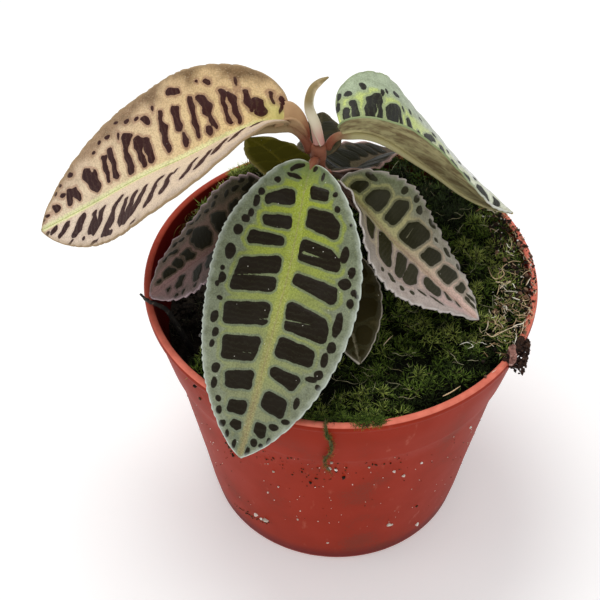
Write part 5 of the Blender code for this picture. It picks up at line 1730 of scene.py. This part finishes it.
def makeLitter():
    # At the right the moss thins out: dark crumbs, broken straw and pale bits lie there and on the lip.
    draw = np.random.default_rng(litter["seed"])
    dirt = toneFinish("dirt", litter["dirtTones"])
    straw = toneFinish("straw", litter["strawTones"], 0.6)
    crumb = makeCrumbModel(12, 1)
    count = litter["crumbs"]
    angle = np.radians(draw.normal(4, 17, count))
    reach = litter["outermost"] - litter["band"] * draw.uniform(0, 1, count) ** 1.5
    x, y = reach * np.cos(angle), reach * np.sin(angle)
    least, most = litter["crumbSize"]
    size = least + (most - least) * draw.uniform(0, 1, count) ** 2
    height = restHeight(x, y) + 0.9 + draw.uniform(-0.5, 0.5, count)
    onLip = reach > litter["lipFrom"]
    height = np.where(onLip, pot["rimHeight"] + size * 0.3, height)
    tones = np.where(draw.uniform(size=count) < 0.9, draw.uniform(0, 0.55, count), 0.95)
    tones, size = np.where(onLip, 0.35 + tones, tones), np.where(onLip, 0.65, 1.0) * size
    strew("litterCrumbs", crumb, np.stack([x, y, height], -1), tumbled(draw, count), size, tones, "moss",
          dirt, grainCrease)
    # A crust of dirt hangs over the lip beside the bark chip.
    count = litter["crustCrumbs"]
    crust = litter["crust"]
    angle = draw.uniform(crust["start"], crust["end"], count)
    spread = crust["spread"] + crust["widening"] * (crust["end"] - angle)
    reach = crust["inner"] + spread * draw.uniform(0, 1, count)
    angle = np.radians(angle)
    height = np.where(reach < pot["rimRadius"], pot["rimHeight"] + 0.3, draw.uniform(*crust["height"], count))
    places = around(reach, angle, height)
    tones = 0.25 + 0.5 * draw.uniform(0, 1, count)
    strew("rimCrust", crumb, places, tumbled(draw, count), draw.uniform(*crust["size"], count), tones,
          "moss", dirt, grainCrease)
    count = litter["bits"]
    angle = np.radians(draw.uniform(*litter["bitTurn"], count))
    outer, band = litter["bitReach"]
    reach = outer - band * draw.uniform(0, 1, count) ** 1.3
    x, y = reach * np.cos(angle), reach * np.sin(angle)
    size = 0.16 + 0.36 * draw.uniform(0, 1, count) ** 2
    places = np.stack([x, y, restHeight(x, y) + 0.2 + np.where(reach < 49.5, 1.0, 0.0)], -1)
    strew("litterBits", crumb, places, tumbled(draw, count), size, draw.uniform(0, 1, count), "moss",
          paleFinish, grainCrease)
    removePiece(crumb)
    # Broken straw is thicker and straighter than the thin strands.
    count = litter["straws"]
    angle = np.radians(np.where(draw.uniform(size=count) < 0.6, draw.normal(-20, 9, count),
                                draw.uniform(-30, 34, count)))
    reach = litter["outermost"] - litter["strawBand"] * draw.uniform(0, 1, count) ** 1.4
    x, y = reach * np.cos(angle), reach * np.sin(angle)
    onLip = reach > litter["lipFrom"]
    length = draw.uniform(*litter["strawLength"], count) * np.where(onLip, 0.7, 1.0)
    height = restHeight(x, y) + np.where(onLip, 0.35, 1.3) + draw.uniform(-0.1, 0.5, count)
    heading = np.where(onLip, angle + math.pi / 2 + draw.normal(0, 0.4, count), anyAngle(draw, count))
    turns = turnsFor(heading, math.pi / 2 + draw.normal(0, 0.16, count), anyAngle(draw, count))
    tones = draw.uniform(0, 1, count)
    for number in range(3):
        model = makeStrandModel(40 + number, 0.1, 0.03 + 0.012 * number)
        part = np.arange(count) % 3 == number
        places = np.stack([x, y, height], -1)[part]
        strew("straws%d" % (number + 1), model, places, turns[part], length[part], tones[part], "moss", straw)
        removePiece(model)


def makeRoots():
    pieces = []
    for number, (route, radius, lift) in enumerate(roots):
        points = [(x, y, float(restHeight(x, y)) + lift) for x, y in route]
        piece = addTube("root%d" % (number + 1), points,
                        (0.5 * radius, radius, 0.9 * radius, 0.8 * radius, 0.3 * radius), 8, 40)
        spots = readPoints(piece) / mm
        knots = 0.25 * radius * np.sin(7.1 * spots[:, 0] + 5.3 * spots[:, 1])
        placePoints(piece, spots + knots[:, None] * (0.4, 0.4, 1.0))
        writeNumbers(piece, "tone", np.full(len(spots), 0.5 + 0.5 * (number % 3) / 2))
        pieces.append(piece)
    piece = joinPieces(pieces)
    piece.name = "looseRoots"
    finishPiece(piece, "moss", finish=toneFinish("rootSkin", litter["strawTones"], 0.6))


paleFinish = toneFinish("paleGrain", litter["paleTones"], 0.85)
peatFinish = makeSoil()
makeCrumbs(peatFinish)
makeFuzz()
makeThinStrands()
makeLitter()
makeRoots()
print("soil, strands and litter")


# Grains and dirt on the pot's outside

wallMarks = dict(
    seed=8, strewn=420, strewnSize=(0.1, 0.24), strewnHeight=(4.0, 56.0),
    perlite=((-124, 15.0, 0.9), (-121.5, 14.2, 0.7), (-119, 15.2, 1.0), (-51, 8.7, 0.9), (-67, 18.3, 0.8),
             (-65.5, 17.6, 0.5), (-70, 51.8, 0.55), (-66, 47.5, 0.6), (-60, 51.2, 0.5), (-79, 56.9, 0.4),
             (-111, 48.9, 0.45), (-91, 62.2, 0.5), (-115, 34.5, 0.4), (-110, 40.8, 0.4), (-104, 23.4, 0.4),
             (-92, 11.0, 0.5), (-38, 52.6, 0.5), (-91.6, 57.2, 0.7), (-89.6, 56.6, 0.6)),
    specks=((-87, 52.2, 0.7), (-55, 22.7, 0.5), (-98, 47.9, 0.6), (-134, 77.2, 0.7), (-134, 71.2, 0.6),
            (-128, 46.0, 0.6)),
    streaks=((-139, 9.1, -122, 12.8, 70), (-130, 63.6, -128, 44.9, 22), (-122, 12.8, -117, 14.5, 20)),
    smears=((-118, 61.0, -86, 50.0, 70), (-84, 60.0, -66, 57.0, 16)),
    strand=((-93, 50.6, 82.9), (-92.6, 53.0, 82.2), (-92, 53.2, 79.4), (-91, 51.9, 75.0), (-91, 51.3, 70.4),
            (-93, 50.0, 65.0), (-91, 48.9, 58.7)),
    strandShoots=120, lipMoss=(-86.0, -76.0), lipShoots=90, lipReach=(50.2, 52.3),
    tones=((32, 26, 16), (72, 54, 36), (116, 90, 64)),
    threadTones=((44, 38, 22), (88, 80, 50), (146, 134, 98)))


def onWall(angle, height, lift):
    turn = np.radians(angle)
    reach = outerRadius(height) + lift
    return around(reach, turn, np.asarray(height, float) + 0 * reach)


def makeWallGrains():
    draw = np.random.default_rng(wallMarks["seed"])
    model = makeCrumbModel(4, 1)
    count = wallMarks["strewn"]
    lowest, span = wallMarks["strewnHeight"]
    angle, height = draw.uniform(0, 360, count), lowest + span * draw.uniform(0, 1, count) ** 0.7
    size = draw.uniform(*wallMarks["strewnSize"], count)
    even = np.arange(count) % 2 == 0
    strewn = onWall(angle, height, size * 0.3)
    given = np.array(wallMarks["perlite"])
    places = np.concatenate([onWall(given[:, 0], given[:, 1], given[:, 2] * 0.3), strewn[even]])
    sizes = np.concatenate([given[:, 2], size[even]])
    strew("wallPerlite", model, places, tumbled(draw, len(sizes)), sizes, draw.uniform(0, 1, len(sizes)),
          "peat", paleFinish, grainCrease)
    given = np.array(wallMarks["specks"])
    places = [onWall(given[:, 0], given[:, 1], given[:, 2] * 0.2), strewn[~even]]
    sizes = [given[:, 2], size[~even]]
    for angle0, height0, angle1, height1, count in wallMarks["streaks"]:
        share = draw.uniform(0, 1, count)
        angle = angle0 + (angle1 - angle0) * share + draw.normal(0, 0.7, count)
        height = height0 + (height1 - height0) * share + draw.normal(0, 0.5, count)
        sizes.append(draw.uniform(0.16, 0.5, count))
        places.append(onWall(angle, height, sizes[-1] * 0.2))
    for angle0, height0, angle1, height1, count in wallMarks["smears"]:
        sizes.append(0.1 + 0.3 * draw.uniform(0, 1, count) ** 2)
        places.append(onWall(draw.uniform(angle0, angle1, count), draw.uniform(height1, height0, count),
                             sizes[-1] * 0.1))
    places, sizes = np.concatenate(places), np.concatenate(sizes)
    strew("wallDirt", model, places, tumbled(draw, len(sizes)), sizes, draw.uniform(0, 0.8, len(sizes)),
          "peat", dirtFinish, grainCrease)
    removePiece(model)


def makeHangingMoss():
    # A strand of old moss hangs over the front of the lip, and short moss grows over the lip beside it.
    draw = np.random.default_rng(wallMarks["seed"] + 1)
    angle, reach, height = np.array(wallMarks["strand"]).T
    route = around(reach, np.radians(angle), height)
    pieces = []
    for _ in range(4):
        points = route + draw.normal(0, 0.3, route.shape)
        pieces.append(addTube("mossThread", points, (0.08, 0.14, 0.13, 0.1, 0.05), 6, 60))
    for piece in pieces:
        writeNumbers(piece, "tone", np.full(len(piece.data.vertices), float(draw.uniform(0.1, 0.9))))
    piece = joinPieces(pieces)
    piece.name = "hangingMoss"
    finishPiece(piece, "moss", finish=toneFinish("oldMoss", wallMarks["threadTones"]))
    count = wallMarks["strandShoots"]
    share = draw.uniform(0, 1, count)
    places = through(np.linspace(0, 1, len(route)), route, share) + draw.normal(0, 0.32, (count, 3))
    heading = np.arctan2(places[:, 1], places[:, 0]) + draw.normal(0, 0.8, count)
    lipCount = wallMarks["lipShoots"]
    angle = np.radians(draw.uniform(*wallMarks["lipMoss"], lipCount))
    reach = draw.uniform(*wallMarks["lipReach"], lipCount)
    lipPlaces = around(reach, angle, np.full(lipCount, pot["rimHeight"] - 0.1))
    places = np.concatenate([places, lipPlaces])
    heading = np.concatenate([heading, angle + draw.normal(0, 1.0, lipCount)])
    tilt = np.concatenate([draw.uniform(0.9, 2.2, count), draw.uniform(0.1, 1.0, lipCount)])
    total = count + lipCount
    model = makeShootModel(9, 7)
    tones = np.concatenate([draw.uniform(0.2, 0.7, count), draw.uniform(0.1, 0.6, lipCount)])
    sizes = np.concatenate([draw.uniform(0.25, 0.5, count), draw.uniform(0.4, 0.8, lipCount)])
    strew("lipMoss", model, places, turnsFor(heading, tilt, anyAngle(draw, total)), sizes, tones, "moss",
          mossFinish)
    removePiece(model)


dirtFinish = toneFinish("wallDirt", wallMarks["tones"])
makeWallGrains()
makeHangingMoss()
print("grains and moss on the pot's outside")


# Bark: the chip at the right and the splinter at the left

bark = dict(
    chipAt=(43.7, -28.6), chipTurn=84.0, chipSize=(6.2, 1.7, 2.0), chipHeight=82.3,
    splinter=(
        (-38.0, -17.5, 66.1), (-41.8, -16.2, 74.5), (-45.0, -14.7, 80.6), (-47.7, -14.5, 82.75),
        (-49.8, -14.0, 83.35), (-52.0, -12.7, 84.6)),
    splinterRadii=(0.9, 0.8, 0.7, 0.6, 0.55, 0.3), tones=((92, 58, 48), (164, 114, 102), (222, 190, 178)),
    splinterTones=((18, 16, 13), (40, 34, 28), (88, 84, 74)))


def barkFinish(name, tones, scale):
    skin = Finish(name)
    broad, fine = skin.noise(2.0, 4, skin.stretched(*scale)), skin.noise(0.5, 3)
    colour = skin.blend(skin.between(broad, 0.3, 0.62), *palette(tones[:2]))
    colour = skin.blend(skin.between(fine + (broad - 0.5), 0.55, 0.85), colour, paint(*tones[2]))
    return skin.set(Base_Color=colour, Roughness=0.9, Normal=skin.bump(broad + fine, 0.4, 0.9))


def makeChip():
    clearSelection()
    bpy.ops.mesh.primitive_cube_add(size=1.0)
    piece = bpy.context.object
    piece.name = "barkChip"
    applyModifier(piece, "SUBSURF", levels=4, render_levels=4, subdivision_type="SIMPLE")
    spots = readPoints(piece)
    length, width, thick = bark["chipSize"]
    x, y, z = spots[:, 0] * length, spots[:, 1] * width, (spots[:, 2] + 0.5) * thick
    taper = 1 - 0.5 * ramp(np.abs(spots[:, 0]), 0.3, 0.5)
    y = y * taper + 0.3 * np.sin(1.4 * x)
    z = z * (1 - 0.35 * ramp(np.abs(spots[:, 0]), 0.2, 0.5))
    rough = 0.16 * np.sin(5 * x + 3 * z) * np.sin(4 * y + 6 * z) + 0.1 * np.sin(11 * y + 2 * x)
    y, z = y * (1 + rough * 0.5), z + np.where(spots[:, 2] > 0, rough, 0)
    turn = math.radians(bark["chipTurn"])
    points = np.stack([
        bark["chipAt"][0] + x * math.cos(turn) - y * math.sin(turn),
        bark["chipAt"][1] + x * math.sin(turn) + y * math.cos(turn), bark["chipHeight"] + z], -1)
    placePoints(piece, points)
    applyModifier(piece, "SUBSURF", levels=1, render_levels=1)
    finishPiece(piece, "bark", "bark_right", finish=barkFinish("barkChip", bark["tones"], (1, 3, 3)),
                crease=60)


def makeSplinter():
    piece = addTube("barkSplinter", bark["splinter"], bark["splinterRadii"], 14, 60, flat=0.7)
    spots = readPoints(piece) / mm
    x, y, z = spots.T
    rough = 0.12 * np.sin(6 * x + 4 * y) * np.sin(5 * z + 2 * x)
    placePoints(piece, spots + rough[:, None] * np.array([0.5, 0.5, 0.7]))
    skin = barkFinish("barkSplinter", bark["splinterTones"], (2, 2, 1))
    finishPiece(piece, "bark", "bark_left", finish=skin)


makeChip()
makeSplinter()
print("bark")
